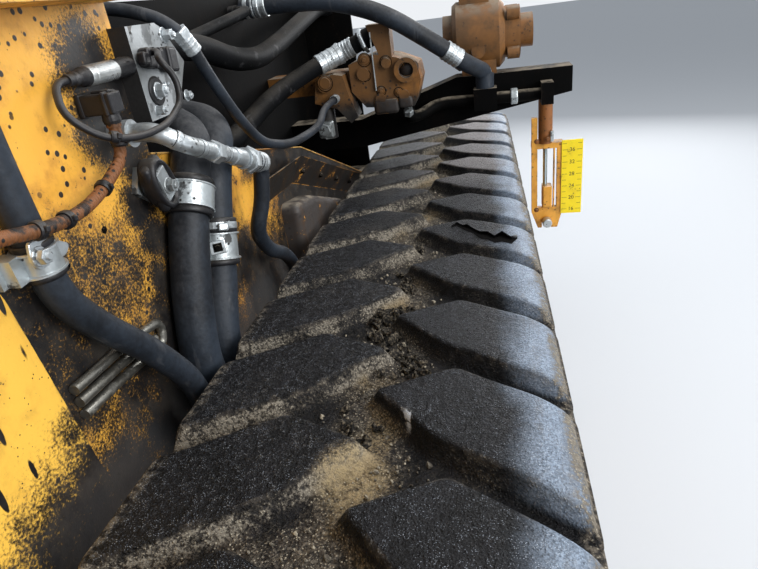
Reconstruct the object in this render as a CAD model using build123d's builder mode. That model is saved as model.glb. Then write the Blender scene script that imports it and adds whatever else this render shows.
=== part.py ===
"""Rubber track side assembly of an asphalt paver: the right-hand rubber track on its undercarriage, the
chassis side wall that carries it, the hydraulic lines clipped to that wall, and the tow point on its slide.

Millimetres, +Z up, +Y is the direction of travel and +X points outboard, away from the machine.
The origin is the middle of the footprint, on the ground.
"""
import math
import os

from build123d import *

os.makedirs("parts", exist_ok=True)

# Driving dimensions of the rubber track
BELT_W = 457.0
CARCASS_T = 30.0
LUG_H = 28.0
AXLE_DISTANCE = 2250.0
DRIVE_R = 460.0
IDLER_R = 420.0
PITCH_COUNT = 40
LUG_DRAFT = 22.0
LUG_ROOT = 22.0
LUG_OVER = 13.5
LUG_START = 171.5
GUIDE_ROOT = 12.0
GUIDE_W = 60.0
GUIDE_L = 96.0
GUIDE_H = 62.0
GUIDE_DRAFT = 12.0

# Driving dimensions of wheels, rollers and the beam between them
RUNNING_GAP = 0.3
RIM_INNER_X = 52.0
RIM_OUTER_X = 197.0
RIM_T = 26.0
WEB_X = 60.0
WEB_T = 16.0
HUB_R = 150.0
WEB_HOLE_R = 48.0
WEB_HOLES = 8
ROLLER_R = 150.0
ROLLER_SPACING = 330.0
BOGIE_Y = [-315.0, 345.0]
BOGIE_T = 56.0
BOGIE_PIVOT_Z = 300.0
AXLE_PIN_R = 30.0
CHEEK_T = 18.0
BEAM_W = 200.0
BEAM_H = 190.0
BEAM_REAR_Y = -610.0
BEAM_FRONT_Y = 640.0
FORK_W = 120.0
FORK_H = 130.0
FORK_IN_BEAM = 300.0
FORK_ARM_W = 62.0
IDLER_AXLE_R = 40.0
PIVOT_R = 95.0
PIVOT_FLANGE_R = 150.0
FLANGE_T = 20.0

# Driving dimensions of the side wall and the bay behind its cut-out
WALL_GAP = 60.0
WALL_T = 12.0
WALL_REAR_Y = -1290.0
WALL_FRONT_Y = 1290.0
WALL_BOTTOM_Z = 330.0
SILL_OVER_BELT = 314.0
FLANK_H = 190.0
BAY_REAR_Y = -545.0
BAY_FRONT_Y = 900.0
BAY_DEPTH = 170.0
BAY_H = 430.0
BAY_T = 10.0
LIP_W = 58.0
LAP_FRONT_Y = -826.0
LAP_T = 4.0
LAP_BELOW_LIP = 40.0
CROSSMEMBER_Y = 560.0
CROSSMEMBER_Z = 560.0
CROSSMEMBER_BOLTS_Y = 240.0
CROSSMEMBER_BOLTS_Z = 160.0
CROSSMEMBER_BOLT_R = 13.0
PAD_W = 330.0
PAD_H = 250.0
PAD_T = 8.0
PAD_CORNER_R = 15.0
MOTOR_L = 240.0
MOTOR_R = 110.0
FINAL_DRIVE_R = 170.0
FINAL_FLANGE_R = 205.0
SPIGOT_R = 60.0

# Driving dimensions of the lines' ends and of what they are screwed into
PORT_UP = -460.0
PORT_H = 70.0
PORT_T = 50.0
PORT_REAR_Y = -700.0
PORT_FRONT_Y = -150.0
BRACKET_OUT = 18.0
BRACKET_T = 6.0
SENSOR_OUT = 14.0
SENSOR_UP = 108.0
SENSOR_REAR_Y = -664.0
CONNECTOR_UP = 66.0
VALVE_OUT = 66.5
VALVE_LOW = -140.0
VALVE_REAR_Y = 400.0
VALVE_L = 140.0
RELIEF_PROUD = 30.0
RELIEF_T = 60.0
RELIEF_PORT_OUT = 26.0
RELIEF_PORT_UP = -95.0
RISER_OUT = 136.5
RISER_UP = 49.0
RISER_Y = 430.0
RISER_TILT = 20.0
CROSS_REAR_Y = 560.0
CROSS_FRONT_Y = 640.0
CROSS_BELOW_SILL = 100.0
CROSS_LINE_R = 17.0
CROSS_LINE_UP = -166.0
TEE_OUT = 431.5
TEE_TOP_UP = -132.0
TEE_W = 66.0
TEE_D = 54.0
TEE_H = 60.0
PUMP_IN = 200.5

# Driving dimensions of the tow point
TOW_Y = 675.0
TOW_OUT = 104.5
TOW_BAR = 18.0
TOW_INNER_W = 62.0
TOW_WINDOW_LOW_Z = 728.0
TOW_WINDOW_TOP_Z = 928.0
HEAD_BELOW_SILL = 140.0
TOW_BLOCK_H = 70.0
TOW_BLOCK_W = 30.0
TOW_BLOCK_D = 44.0
TOW_CLEAR = 5.0
TOW_PLATE_LOW_Z = 655.0
LEFT_BAR_TOP_Z = 1028.0
STRIP_W = 4.0
STRIP_OUT = 22.0
PIN_R = 16.0
PIN_Z = 680.0
BARREL_R = 22.0
ROD_R = 7.0
ROD_IN = 6.0
SCALE_OUT = 110.0
SCALE_W = 66.0
SCALE_H = 217.0
SCALE_ABOVE = 7.0

# Places that follow from the driving dimensions
BELT_T = CARCASS_T + LUG_H
DRIVE_Y = -AXLE_DISTANCE / 2
IDLER_Y = AXLE_DISTANCE / 2
DRIVE_Z = BELT_T + DRIVE_R
IDLER_Z = BELT_T + IDLER_R
BEAM_Z = IDLER_Z
DRIVE_TOP_Z = DRIVE_Z + DRIVE_R + BELT_T
IDLER_TOP_Z = IDLER_Z + IDLER_R + BELT_T
BELT_FALL = (DRIVE_TOP_Z - IDLER_TOP_Z) / AXLE_DISTANCE
SILL_Z = round(DRIVE_TOP_Z - BELT_FALL * (CROSS_REAR_Y - DRIVE_Y)) + SILL_OVER_BELT
CROSS_TOP_Z = SILL_Z - CROSS_BELOW_SILL
TOW_TOP_Z = SILL_Z - HEAD_BELOW_SILL
PUMP_X = BELT_W / 2 - PUMP_IN
WALL_X = -BELT_W / 2 - WALL_GAP
WALL_BACK_X = WALL_X - WALL_T
WALL_TOP_Z = SILL_Z + FLANK_H
PAD_X = WALL_BACK_X - PAD_T
BAY_X = WALL_BACK_X - BAY_DEPTH
BAY_OUT = BAY_X - WALL_X
BAY_FLOOR_Z = SILL_Z - BAY_H
RISER_LEAN = math.tan(math.radians(RISER_TILT))
TEE_Y = CROSS_REAR_Y - TEE_D / 2
CROSS_LINE_Y = CROSS_REAR_Y - CROSS_LINE_R - RUNNING_GAP
TOW_X = BELT_W / 2 + TOW_OUT
ROD_X = TOW_X - ROD_IN
STRIP_X = TOW_X + STRIP_OUT
SCALE_OUT_X = TOW_X + SCALE_OUT
CROSS_OUT_X = TOW_X + TOW_INNER_W / 2 + TOW_BAR + 8
END_PORT_X = TOW_X - 33
ROLLER_Z = BELT_T + ROLLER_R
RUN_SLOPE = 2 * math.degrees(math.asin((DRIVE_R - IDLER_R) / math.hypot(AXLE_DISTANCE, DRIVE_R - IDLER_R)))

# The footprint's middle is the origin, so the belt's centre line lies a little outboard of it
INNER_END_X = WALL_BACK_X - MOTOR_L
BELT_X = -(INNER_END_X + SCALE_OUT_X) / 2
MID_Y = (DRIVE_R - IDLER_R) / 2


def at(x, y, z):
    """A place given from the belt's centre line, the middle between the axles and the ground."""
    return (BELT_X + x, MID_Y + y, z)


def side_plane(x):
    """A plane square across the machine at x; its own axes are Y and Z."""
    return Plane(origin=at(x, 0, 0), x_dir=(0, 1, 0), z_dir=(1, 0, 0))


def cross_plane(y):
    """A plane square to the direction of travel at y, facing forward; its own axes are X and -Z."""
    return Plane(origin=at(0, y, 0), x_dir=(1, 0, 0), z_dir=(0, 1, 0))


def level_plane(z):
    """A level plane at height z; its own axes are X and Y."""
    return Plane(origin=at(0, 0, z), x_dir=(1, 0, 0), z_dir=(0, 0, 1))


def section_plane(y, z):
    """The section through an axle at (y, z); its own axes are X and the radius, upward."""
    return Plane(origin=at(0, y, z), x_dir=(1, 0, 0), z_dir=(0, -1, 0))


def axle_axis(y, z):
    return Axis(at(0, y, z), (1, 0, 0))


# The belt's line: over the top run, round the idler, back along the ground, round the drive wheel
NEUTRAL = CARCASS_T / 2
SLOPE = math.radians(RUN_SLOPE)
IDLER_ARC = (math.pi - SLOPE) * (IDLER_R + NEUTRAL)
DRIVE_ARC = (math.pi + SLOPE) * (DRIVE_R + NEUTRAL)
BELT_LENGTH = 2 * AXLE_DISTANCE + IDLER_ARC + DRIVE_ARC
PITCH = BELT_LENGTH / PITCH_COUNT


def belt_plane(s, lift):
    """The plane on the belt's line at distance s, lift outward of the rims; its own Y runs along the belt."""
    s = s % BELT_LENGTH
    if s < AXLE_DISTANCE:
        turn = SLOPE
        along = s
        centre_y = DRIVE_Y
        centre_z = DRIVE_Z
        radius = DRIVE_R
    elif s < AXLE_DISTANCE + IDLER_ARC:
        turn = SLOPE + (s - AXLE_DISTANCE) / (IDLER_R + NEUTRAL)
        along = 0.0
        centre_y = IDLER_Y
        centre_z = IDLER_Z
        radius = IDLER_R
    elif s < 2 * AXLE_DISTANCE + IDLER_ARC:
        turn = math.pi
        along = s - AXLE_DISTANCE - IDLER_ARC
        centre_y = IDLER_Y
        centre_z = IDLER_Z
        radius = IDLER_R
    else:
        turn = math.pi + (s - 2 * AXLE_DISTANCE - IDLER_ARC) / (DRIVE_R + NEUTRAL)
        along = 0.0
        centre_y = DRIVE_Y
        centre_z = DRIVE_Z
        radius = DRIVE_R
    normal = (0, math.sin(turn), math.cos(turn))
    forward = (0, math.cos(turn), -math.sin(turn))
    y = centre_y + normal[1] * (radius + lift) + forward[1] * along
    z = centre_z + normal[2] * (radius + lift) + forward[2] * along
    return Plane(origin=at(0, y, z), x_dir=(1, 0, 0), z_dir=normal)


# The foot of one arm of the chevron tread, sunk in the carcass: x outward, y along the belt from the arm's middle
LUG_OUTLINE = [
    (-34.0, 69.0),
    (66.0, -36.5),
    (BELT_W / 2 + LUG_OVER, -143.5),
    (BELT_W / 2 + LUG_OVER, 38.5),
    (96.5, 130.5),
]


def lug_arm(bend_r):
    """One tread arm standing on its plane; bend_r is the radius that its top is cut to, or None when flat."""
    with BuildPart() as arm:
        with BuildSketch(Plane.XY.offset(-LUG_ROOT)):
            with BuildLine():
                Polyline(*LUG_OUTLINE, close=True)
            make_face()
        extrude(amount=LUG_ROOT + LUG_H, taper=LUG_DRAFT)
        with BuildSketch(Plane.YZ):
            if bend_r:
                with Locations((0, LUG_H - bend_r)):
                    Circle(bend_r)
            else:
                Rectangle(2 * PITCH, 2 * PITCH)
        extrude(amount=BELT_W / 2, both=True, mode=Mode.INTERSECT)
    return arm.part


with BuildPart() as guide_block:
    with BuildSketch(Plane(origin=(0, 0, GUIDE_ROOT), x_dir=(1, 0, 0), z_dir=(0, 0, -1))):
        Rectangle(GUIDE_W, GUIDE_L)
    extrude(amount=GUIDE_H + GUIDE_ROOT, taper=GUIDE_DRAFT)

# Each stretch of the belt: its start and end along the belt's line, and the radius of its tread's tops
STRETCHES = [
    (0.0, AXLE_DISTANCE, None),
    (AXLE_DISTANCE, AXLE_DISTANCE + IDLER_ARC, IDLER_R + BELT_T),
    (AXLE_DISTANCE + IDLER_ARC, 2 * AXLE_DISTANCE + IDLER_ARC, None),
    (2 * AXLE_DISTANCE + IDLER_ARC, BELT_LENGTH, DRIVE_R + BELT_T),
]

# The belt: a flat band with the tread outside and the guide blocks inside
with BuildPart() as track_belt:
    with BuildSketch(side_plane(-BELT_W / 2)) as band:
        with Locations((DRIVE_Y, DRIVE_Z)):
            Circle(DRIVE_R + CARCASS_T)
        with Locations((IDLER_Y, IDLER_Z)):
            Circle(IDLER_R + CARCASS_T)
        make_hull()
    extrude(amount=BELT_W)
    with BuildSketch(side_plane(-BELT_W / 2)) as hollow:
        with Locations((DRIVE_Y, DRIVE_Z)):
            Circle(DRIVE_R)
        with Locations((IDLER_Y, IDLER_Z)):
            Circle(IDLER_R)
        make_hull()
    extrude(amount=BELT_W, mode=Mode.SUBTRACT)
    arms = []
    for start, end, bend_r in STRETCHES:
        right_arm = lug_arm(bend_r)
        left_arm = right_arm.mirror(Plane.YZ)
        for step in range(2 * PITCH_COUNT):
            s = (LUG_START + step * PITCH / 2) % BELT_LENGTH
            if start <= s < end:
                arm = right_arm if step % 2 == 0 else left_arm
                arms.append(belt_plane(s, CARCASS_T).location * arm)
    for step in range(PITCH_COUNT):
        arms.append(belt_plane((step + 0.25) * PITCH, 0).location * guide_block.part)
    add(arms)
track_belt.part.label = "track_belt"
export_step(track_belt.part, "parts/track_belt.step")

# Drive wheel and idler: two rims side by side on one hub, with the guide blocks running between them
# columns: name, axle y, axle z, belt radius, bore radius, x of the hub's inner end
WHEELS = [
    ("drive_wheel", DRIVE_Y, DRIVE_Z, DRIVE_R, SPIGOT_R + RUNNING_GAP, 0.0),
    ("idler_wheel", IDLER_Y, IDLER_Z, IDLER_R, IDLER_AXLE_R + RUNNING_GAP, FORK_ARM_W / 2 + RUNNING_GAP),
]
for name, axle_y, axle_z, belt_r, bore_r, hub_x in WHEELS:
    rim_r = belt_r - RUNNING_GAP
    with BuildPart() as wheel:
        with BuildSketch(section_plane(axle_y, axle_z)):
            with BuildLine():
                Polyline(
                    (RIM_INNER_X, rim_r),
                    (RIM_OUTER_X, rim_r),
                    (RIM_OUTER_X, rim_r - RIM_T),
                    (WEB_X + WEB_T, rim_r - RIM_T),
                    (WEB_X + WEB_T, bore_r),
                    (hub_x, bore_r),
                    (hub_x, HUB_R),
                    (WEB_X, HUB_R),
                    (WEB_X, rim_r - RIM_T - 20),
                    (RIM_INNER_X, rim_r - RIM_T - 20),
                    close=True,
                )
            make_face()
            mirror(about=Plane.YZ)
        revolve(axis=axle_axis(axle_y, axle_z))
        hole_circle_r = (HUB_R + belt_r - RIM_T) / 2
        with BuildSketch(side_plane(-RIM_OUTER_X)):
            with Locations((axle_y, axle_z)):
                with PolarLocations(hole_circle_r, WEB_HOLES):
                    Circle(WEB_HOLE_R)
        extrude(amount=2 * RIM_OUTER_X, mode=Mode.SUBTRACT)
    wheel.part.label = name
    export_step(wheel.part, f"parts/{name}.step")

# Final drive: bolted to the wall, its planetary housing reaching into the drive wheel's inner rim
with BuildPart() as final_drive:
    with BuildSketch(section_plane(DRIVE_Y, DRIVE_Z)):
        with BuildLine():
            Polyline(
                (WALL_X, 0),
                (WALL_X, FINAL_FLANGE_R),
                (WALL_X + FLANGE_T, FINAL_FLANGE_R),
                (WALL_X + FLANGE_T, FINAL_DRIVE_R),
                (-WEB_X - WEB_T - 40, FINAL_DRIVE_R),
                (-WEB_X - WEB_T - RUNNING_GAP, HUB_R),
                (-WEB_X - WEB_T - RUNNING_GAP, SPIGOT_R),
                (WEB_X + WEB_T, SPIGOT_R),
                (WEB_X + WEB_T, 0),
                close=True,
            )
        make_face()
    revolve(axis=axle_axis(DRIVE_Y, DRIVE_Z))
final_drive.part.label = "final_drive"
export_step(final_drive.part, "parts/final_drive.step")

# Travel motor: on the inner side of the wall, in line with the final drive, with its port block on top
with BuildPart() as travel_motor:
    with BuildSketch(section_plane(DRIVE_Y, DRIVE_Z)):
        with BuildLine():
            Polyline(
                (WALL_BACK_X, 0),
                (WALL_BACK_X, MOTOR_R + 40),
                (WALL_BACK_X - FLANGE_T, MOTOR_R + 40),
                (WALL_BACK_X - FLANGE_T - 20, MOTOR_R),
                (INNER_END_X + 20, MOTOR_R),
                (INNER_END_X, MOTOR_R - 20),
                (INNER_END_X, 0),
                close=True,
            )
        make_face()
    revolve(axis=axle_axis(DRIVE_Y, DRIVE_Z))
    with BuildSketch(level_plane(DRIVE_Z)):
        with Locations((INNER_END_X + 75, DRIVE_Y)):
            Rectangle(90, 120)
    extrude(amount=MOTOR_R + 45)
travel_motor.part.label = "travel_motor"
export_step(travel_motor.part, "parts/travel_motor.step")

# Caps over the outer hubs
# columns: name, axle y, axle z, cap radius, cap depth
HUB_CAPS = [
    ("drive_hub_cap", DRIVE_Y, DRIVE_Z, 120.0, 46.0),
    ("idler_hub_cap", IDLER_Y, IDLER_Z, 90.0, 60.0),
]
for name, axle_y, axle_z, cap_r, depth in HUB_CAPS:
    with BuildPart() as cap:
        with BuildSketch(section_plane(axle_y, axle_z)):
            with BuildLine():
                face_x = WEB_X + WEB_T
                Polyline((face_x, 0), (face_x, cap_r), (face_x + 14, cap_r), (face_x + 14, cap_r - 22))
                Line((face_x + 14, cap_r - 22), (face_x + depth - 12, cap_r - 30))
                Line((face_x + depth - 12, cap_r - 30), (face_x + depth, cap_r - 46))
                Line((face_x + depth, cap_r - 46), (face_x + depth, 0))
                Line((face_x + depth, 0), (face_x, 0))
            make_face()
        revolve(axis=axle_axis(axle_y, axle_z))
    cap.part.label = name
    export_step(cap.part, f"parts/{name}.step")

# Idler axle, held in the fork's eye
with BuildPart() as idler_axle:
    with BuildSketch(side_plane(-WEB_X - WEB_T)):
        with Locations((IDLER_Y, IDLER_Z)):
            Circle(IDLER_AXLE_R)
    extrude(amount=2 * (WEB_X + WEB_T))
idler_axle.part.label = "idler_axle"
export_step(idler_axle.part, "parts/idler_axle.step")

# Idler fork: a bar that slides in the beam's mouth and narrows to an arm between the idler's rims
FORK_REAR_Y = BEAM_FRONT_Y - FORK_IN_BEAM
FORK_EYE_R = IDLER_AXLE_R + 45
with BuildPart() as idler_fork:
    with BuildSketch(cross_plane(FORK_REAR_Y)):
        with Locations((0, -BEAM_Z)):
            Rectangle(FORK_W, FORK_H)
    extrude(amount=FORK_IN_BEAM + 30)
    with BuildSketch(side_plane(-FORK_ARM_W / 2)):
        with BuildLine():
            Polyline(
                (BEAM_FRONT_Y + 20, BEAM_Z - FORK_H / 2),
                (IDLER_Y, BEAM_Z - FORK_EYE_R),
                (IDLER_Y, BEAM_Z + FORK_EYE_R),
                (BEAM_FRONT_Y + 20, BEAM_Z + FORK_H / 2),
                close=True,
            )
        make_face()
        with Locations((IDLER_Y, BEAM_Z)):
            Circle(FORK_EYE_R)
            Circle(IDLER_AXLE_R, mode=Mode.SUBTRACT)
    extrude(amount=FORK_ARM_W)
idler_fork.part.label = "idler_fork"
export_step(idler_fork.part, "parts/idler_fork.step")

# Track beam: a box section between drive wheel and idler, with cheeks below for the two bogies
with BuildPart() as track_beam:
    with BuildSketch(cross_plane(BEAM_REAR_Y)):
        with Locations((0, -BEAM_Z)):
            Rectangle(BEAM_W, BEAM_H)
    extrude(amount=BEAM_FRONT_Y - BEAM_REAR_Y)
    with BuildSketch(cross_plane(FORK_REAR_Y)):
        with Locations((0, -BEAM_Z)):
            Rectangle(FORK_W + 2 * RUNNING_GAP, FORK_H + 2 * RUNNING_GAP)
    extrude(amount=FORK_IN_BEAM, mode=Mode.SUBTRACT)
    for side in (-1, 1):
        cheek_x = side * (BOGIE_T / 2 + RUNNING_GAP)
        with BuildSketch(side_plane(min(cheek_x, cheek_x + side * CHEEK_T))):
            for pivot_y in BOGIE_Y:
                with Locations((pivot_y, BOGIE_PIVOT_Z)):
                    Circle(50)
                with Locations((pivot_y, (BOGIE_PIVOT_Z + BEAM_Z - BEAM_H / 2) / 2)):
                    Rectangle(100, BEAM_Z - BEAM_H / 2 - BOGIE_PIVOT_Z)
        extrude(amount=CHEEK_T)
        with BuildSketch(side_plane(-BEAM_W / 2)):
            for pivot_y in BOGIE_Y:
                with Locations((pivot_y, BOGIE_PIVOT_Z)):
                    Circle(AXLE_PIN_R)
        extrude(amount=BEAM_W, mode=Mode.SUBTRACT)
track_beam.part.label = "track_beam"
export_step(track_beam.part, "parts/track_beam.step")

# Pivot tube: carries the beam from the wall
with BuildPart() as beam_pivot:
    with BuildSketch(section_plane(0, BEAM_Z)):
        with BuildLine():
            Polyline(
                (WALL_X, 0),
                (WALL_X, PIVOT_FLANGE_R),
                (WALL_X + FLANGE_T, PIVOT_FLANGE_R),
                (WALL_X + FLANGE_T, PIVOT_R),
                (-BEAM_W / 2, PIVOT_R),
                (-BEAM_W / 2, 0),
                close=True,
            )
        make_face()
    revolve(axis=axle_axis(0, BEAM_Z))
beam_pivot.part.label = "beam_pivot"
export_step(beam_pivot.part, "parts/beam_pivot.step")

# Bogies with their pairs of rollers; each roller is two discs on one axle
# columns: place, pivot y
for place, pivot_y in zip(("rear", "front"), BOGIE_Y):
    axle_ys = (pivot_y - ROLLER_SPACING / 2, pivot_y + ROLLER_SPACING / 2)
    with BuildPart() as bogie:
        with BuildSketch(side_plane(-BOGIE_T / 2)):
            for axle_y in axle_ys:
                with Locations((axle_y, ROLLER_Z)):
                    Circle(AXLE_PIN_R + 24)
            with Locations((pivot_y, BOGIE_PIVOT_Z)):
                Circle(AXLE_PIN_R + 24)
            make_hull()
            for axle_y in axle_ys:
                with Locations((axle_y, ROLLER_Z)):
                    Circle(AXLE_PIN_R + RUNNING_GAP, mode=Mode.SUBTRACT)
        extrude(amount=BOGIE_T)
        with BuildSketch(side_plane(-BOGIE_T / 2 - CHEEK_T - RUNNING_GAP - 8)):
            with Locations((pivot_y, BOGIE_PIVOT_Z)):
                Circle(AXLE_PIN_R - RUNNING_GAP)
        extrude(amount=BOGIE_T + 2 * (CHEEK_T + RUNNING_GAP + 8))
    bogie.part.label = f"bogie_{place}"
    export_step(bogie.part, f"parts/bogie_{place}.step")

    with BuildPart() as rollers:
        for axle_y in axle_ys:
            with BuildSketch(section_plane(axle_y, ROLLER_Z)):
                with BuildLine():
                    Polyline(
                        (0, 0),
                        (0, AXLE_PIN_R),
                        (RIM_INNER_X, AXLE_PIN_R),
                        (RIM_INNER_X, ROLLER_R - RUNNING_GAP),
                        (RIM_OUTER_X, ROLLER_R - RUNNING_GAP),
                        (RIM_OUTER_X, ROLLER_R - 22),
                        (RIM_OUTER_X - 34, ROLLER_R - 30),
                        (RIM_OUTER_X - 34, 62),
                        (RIM_OUTER_X - 14, 52),
                        (RIM_OUTER_X - 14, 0),
                        close=True,
                    )
                make_face()
                mirror(about=Plane.YZ)
            revolve(axis=axle_axis(axle_y, ROLLER_Z))
    rollers.part.label = f"rollers_{place}"
    export_step(rollers.part, f"parts/rollers_{place}.step")

# Tension cylinder: lies on the beam and pushes the fork's arm forward
TENSION_R = 38.0
TENSION_Z = BEAM_Z + BEAM_H / 2 + TENSION_R
with BuildPart() as tension_cylinder:
    with BuildSketch(cross_plane(BEAM_FRONT_Y - 330)):
        with Locations((0, -TENSION_Z)):
            Circle(TENSION_R)
    extrude(amount=330 - 30)
    with BuildSketch(cross_plane(BEAM_FRONT_Y - 30)):
        with Locations((0, -TENSION_Z)):
            Circle(TENSION_R * 0.6)
    extrude(amount=150)
tension_cylinder.part.label = "tension_cylinder"
export_step(tension_cylinder.part, "parts/tension_cylinder.step")

# Side wall: the chassis plate that everything is bolted to, cut low where the hose bay opens
# columns: y, height above the sill
WALL_EDGE = [
    (WALL_FRONT_Y, -490.0),
    (900.0, -440.0),
    (682.0, -397.0),
    (461.0, -307.0),
    (65.0, -149.0),
    (-195.0, -87.0),
    (BAY_REAR_Y, 0.0),
]
BOLT_ROWS = (-CROSSMEMBER_Y, CROSSMEMBER_Y)
with BuildPart() as side_wall:
    with BuildSketch(side_plane(WALL_BACK_X)):
        with BuildLine():
            Polyline(
                (WALL_REAR_Y, WALL_BOTTOM_Z),
                (WALL_FRONT_Y, WALL_BOTTOM_Z),
                *[(y, SILL_Z + up) for y, up in WALL_EDGE],
                (BAY_REAR_Y, WALL_TOP_Z),
                (WALL_REAR_Y, WALL_TOP_Z),
                close=True,
            )
        make_face()
    extrude(amount=WALL_T)
    with BuildSketch(side_plane(WALL_X)):
        with Locations(((WALL_REAR_Y + BAY_REAR_Y) / 2, WALL_TOP_Z - WALL_T / 2)):
            Rectangle(BAY_REAR_Y - WALL_REAR_Y, WALL_T)
    extrude(amount=LIP_W)
    with BuildSketch(side_plane(PAD_X)):
        with Locations(*[(y, CROSSMEMBER_Z) for y in BOLT_ROWS]):
            RectangleRounded(PAD_W, PAD_H, PAD_CORNER_R)
    extrude(amount=PAD_T)
    with BuildSketch(side_plane(PAD_X)):
        for bolts_y in BOLT_ROWS:
            with Locations((bolts_y, CROSSMEMBER_Z)):
                with GridLocations(CROSSMEMBER_BOLTS_Y, CROSSMEMBER_BOLTS_Z, 2, 2):
                    Circle(CROSSMEMBER_BOLT_R)
    extrude(amount=PAD_T + WALL_T, mode=Mode.SUBTRACT)
side_wall.part.label = "side_wall"
export_step(side_wall.part, "parts/side_wall.step")

# Lap plate: a repair and wear plate welded over the wall's rear
LAP_LOW = -590.0
with BuildPart() as rear_lap_plate:
    with BuildSketch(side_plane(WALL_X)):
        with BuildLine():
            Polyline(
                (WALL_REAR_Y, SILL_Z + LAP_LOW),
                (LAP_FRONT_Y + 16, SILL_Z + LAP_LOW),
                (LAP_FRONT_Y + 8, SILL_Z - 296),
                (LAP_FRONT_Y - 14, SILL_Z - 55),
                (LAP_FRONT_Y - 60, WALL_TOP_Z - LAP_BELOW_LIP),
                (WALL_REAR_Y, WALL_TOP_Z - LAP_BELOW_LIP),
                close=True,
            )
        make_face()
        with Locations((DRIVE_Y, DRIVE_Z)):
            Circle(FINAL_FLANGE_R + 6, mode=Mode.SUBTRACT)
    extrude(amount=LAP_T)
rear_lap_plate.part.label = "rear_lap_plate"
export_step(rear_lap_plate.part, "parts/rear_lap_plate.step")

# Hose bay: the dark recess behind the cut-out, a back plate and two end plates on a floor that meets the wall
with BuildPart() as hose_bay:
    with BuildSketch(side_plane(BAY_X - BAY_T)):
        with Locations(((BAY_REAR_Y + BAY_FRONT_Y) / 2, (BAY_FLOOR_Z + WALL_TOP_Z) / 2)):
            Rectangle(BAY_FRONT_Y - BAY_REAR_Y, WALL_TOP_Z - BAY_FLOOR_Z)
    extrude(amount=BAY_T)
    with BuildSketch(level_plane(BAY_FLOOR_Z - BAY_T)):
        with Locations(((BAY_X - BAY_T + WALL_BACK_X) / 2, (BAY_REAR_Y + BAY_FRONT_Y) / 2)):
            Rectangle(BAY_DEPTH + BAY_T, BAY_FRONT_Y - BAY_REAR_Y)
    extrude(amount=BAY_T)
    for end_y in (BAY_REAR_Y, BAY_FRONT_Y - BAY_T):
        with BuildSketch(cross_plane(end_y)):
            with Locations(((BAY_X + WALL_BACK_X) / 2, -(BAY_FLOOR_Z + WALL_TOP_Z) / 2)):
                Rectangle(BAY_DEPTH, WALL_TOP_Z - BAY_FLOOR_Z)
        extrude(amount=BAY_T)
hose_bay.part.label = "hose_bay"
export_step(hose_bay.part, "parts/hose_bay.step")

# Port block: the hoses' lower ends, bolted to the wall below the top of the belt
with BuildPart() as port_block:
    with BuildSketch(side_plane(WALL_X)):
        with Locations(((PORT_REAR_Y + PORT_FRONT_Y) / 2, SILL_Z + PORT_UP - PORT_H / 2)):
            Rectangle(PORT_FRONT_Y - PORT_REAR_Y, PORT_H)
    extrude(amount=PORT_T)
port_block.part.label = "port_block"
export_step(port_block.part, "parts/port_block.step")


def corner_radii(points):
    """For each corner of a route, 0.45 of its shorter run over the tangent of half its turn."""
    radii = []
    for before, here, after in zip(points, points[1:], points[2:]):
        run_in = Vector(*here) - Vector(*before)
        run_out = Vector(*after) - Vector(*here)
        half_turn = math.radians(run_in.get_angle(run_out)) / 2
        radii.append(0.45 * min(run_in.length, run_out.length) / math.tan(half_turn))
    return radii


def from_wall(out, y, up):
    """A place given out from the wall's face, along the machine, and up from the sill."""
    return at(WALL_X + out, y, SILL_Z + up)


# Hoses and rigid lines, clamped along their whole way; each goes from fitting to fitting
LIP_UP = FLANK_H - WALL_T
ELBOW_END = (76.5, -412.0, -52.0)
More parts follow.
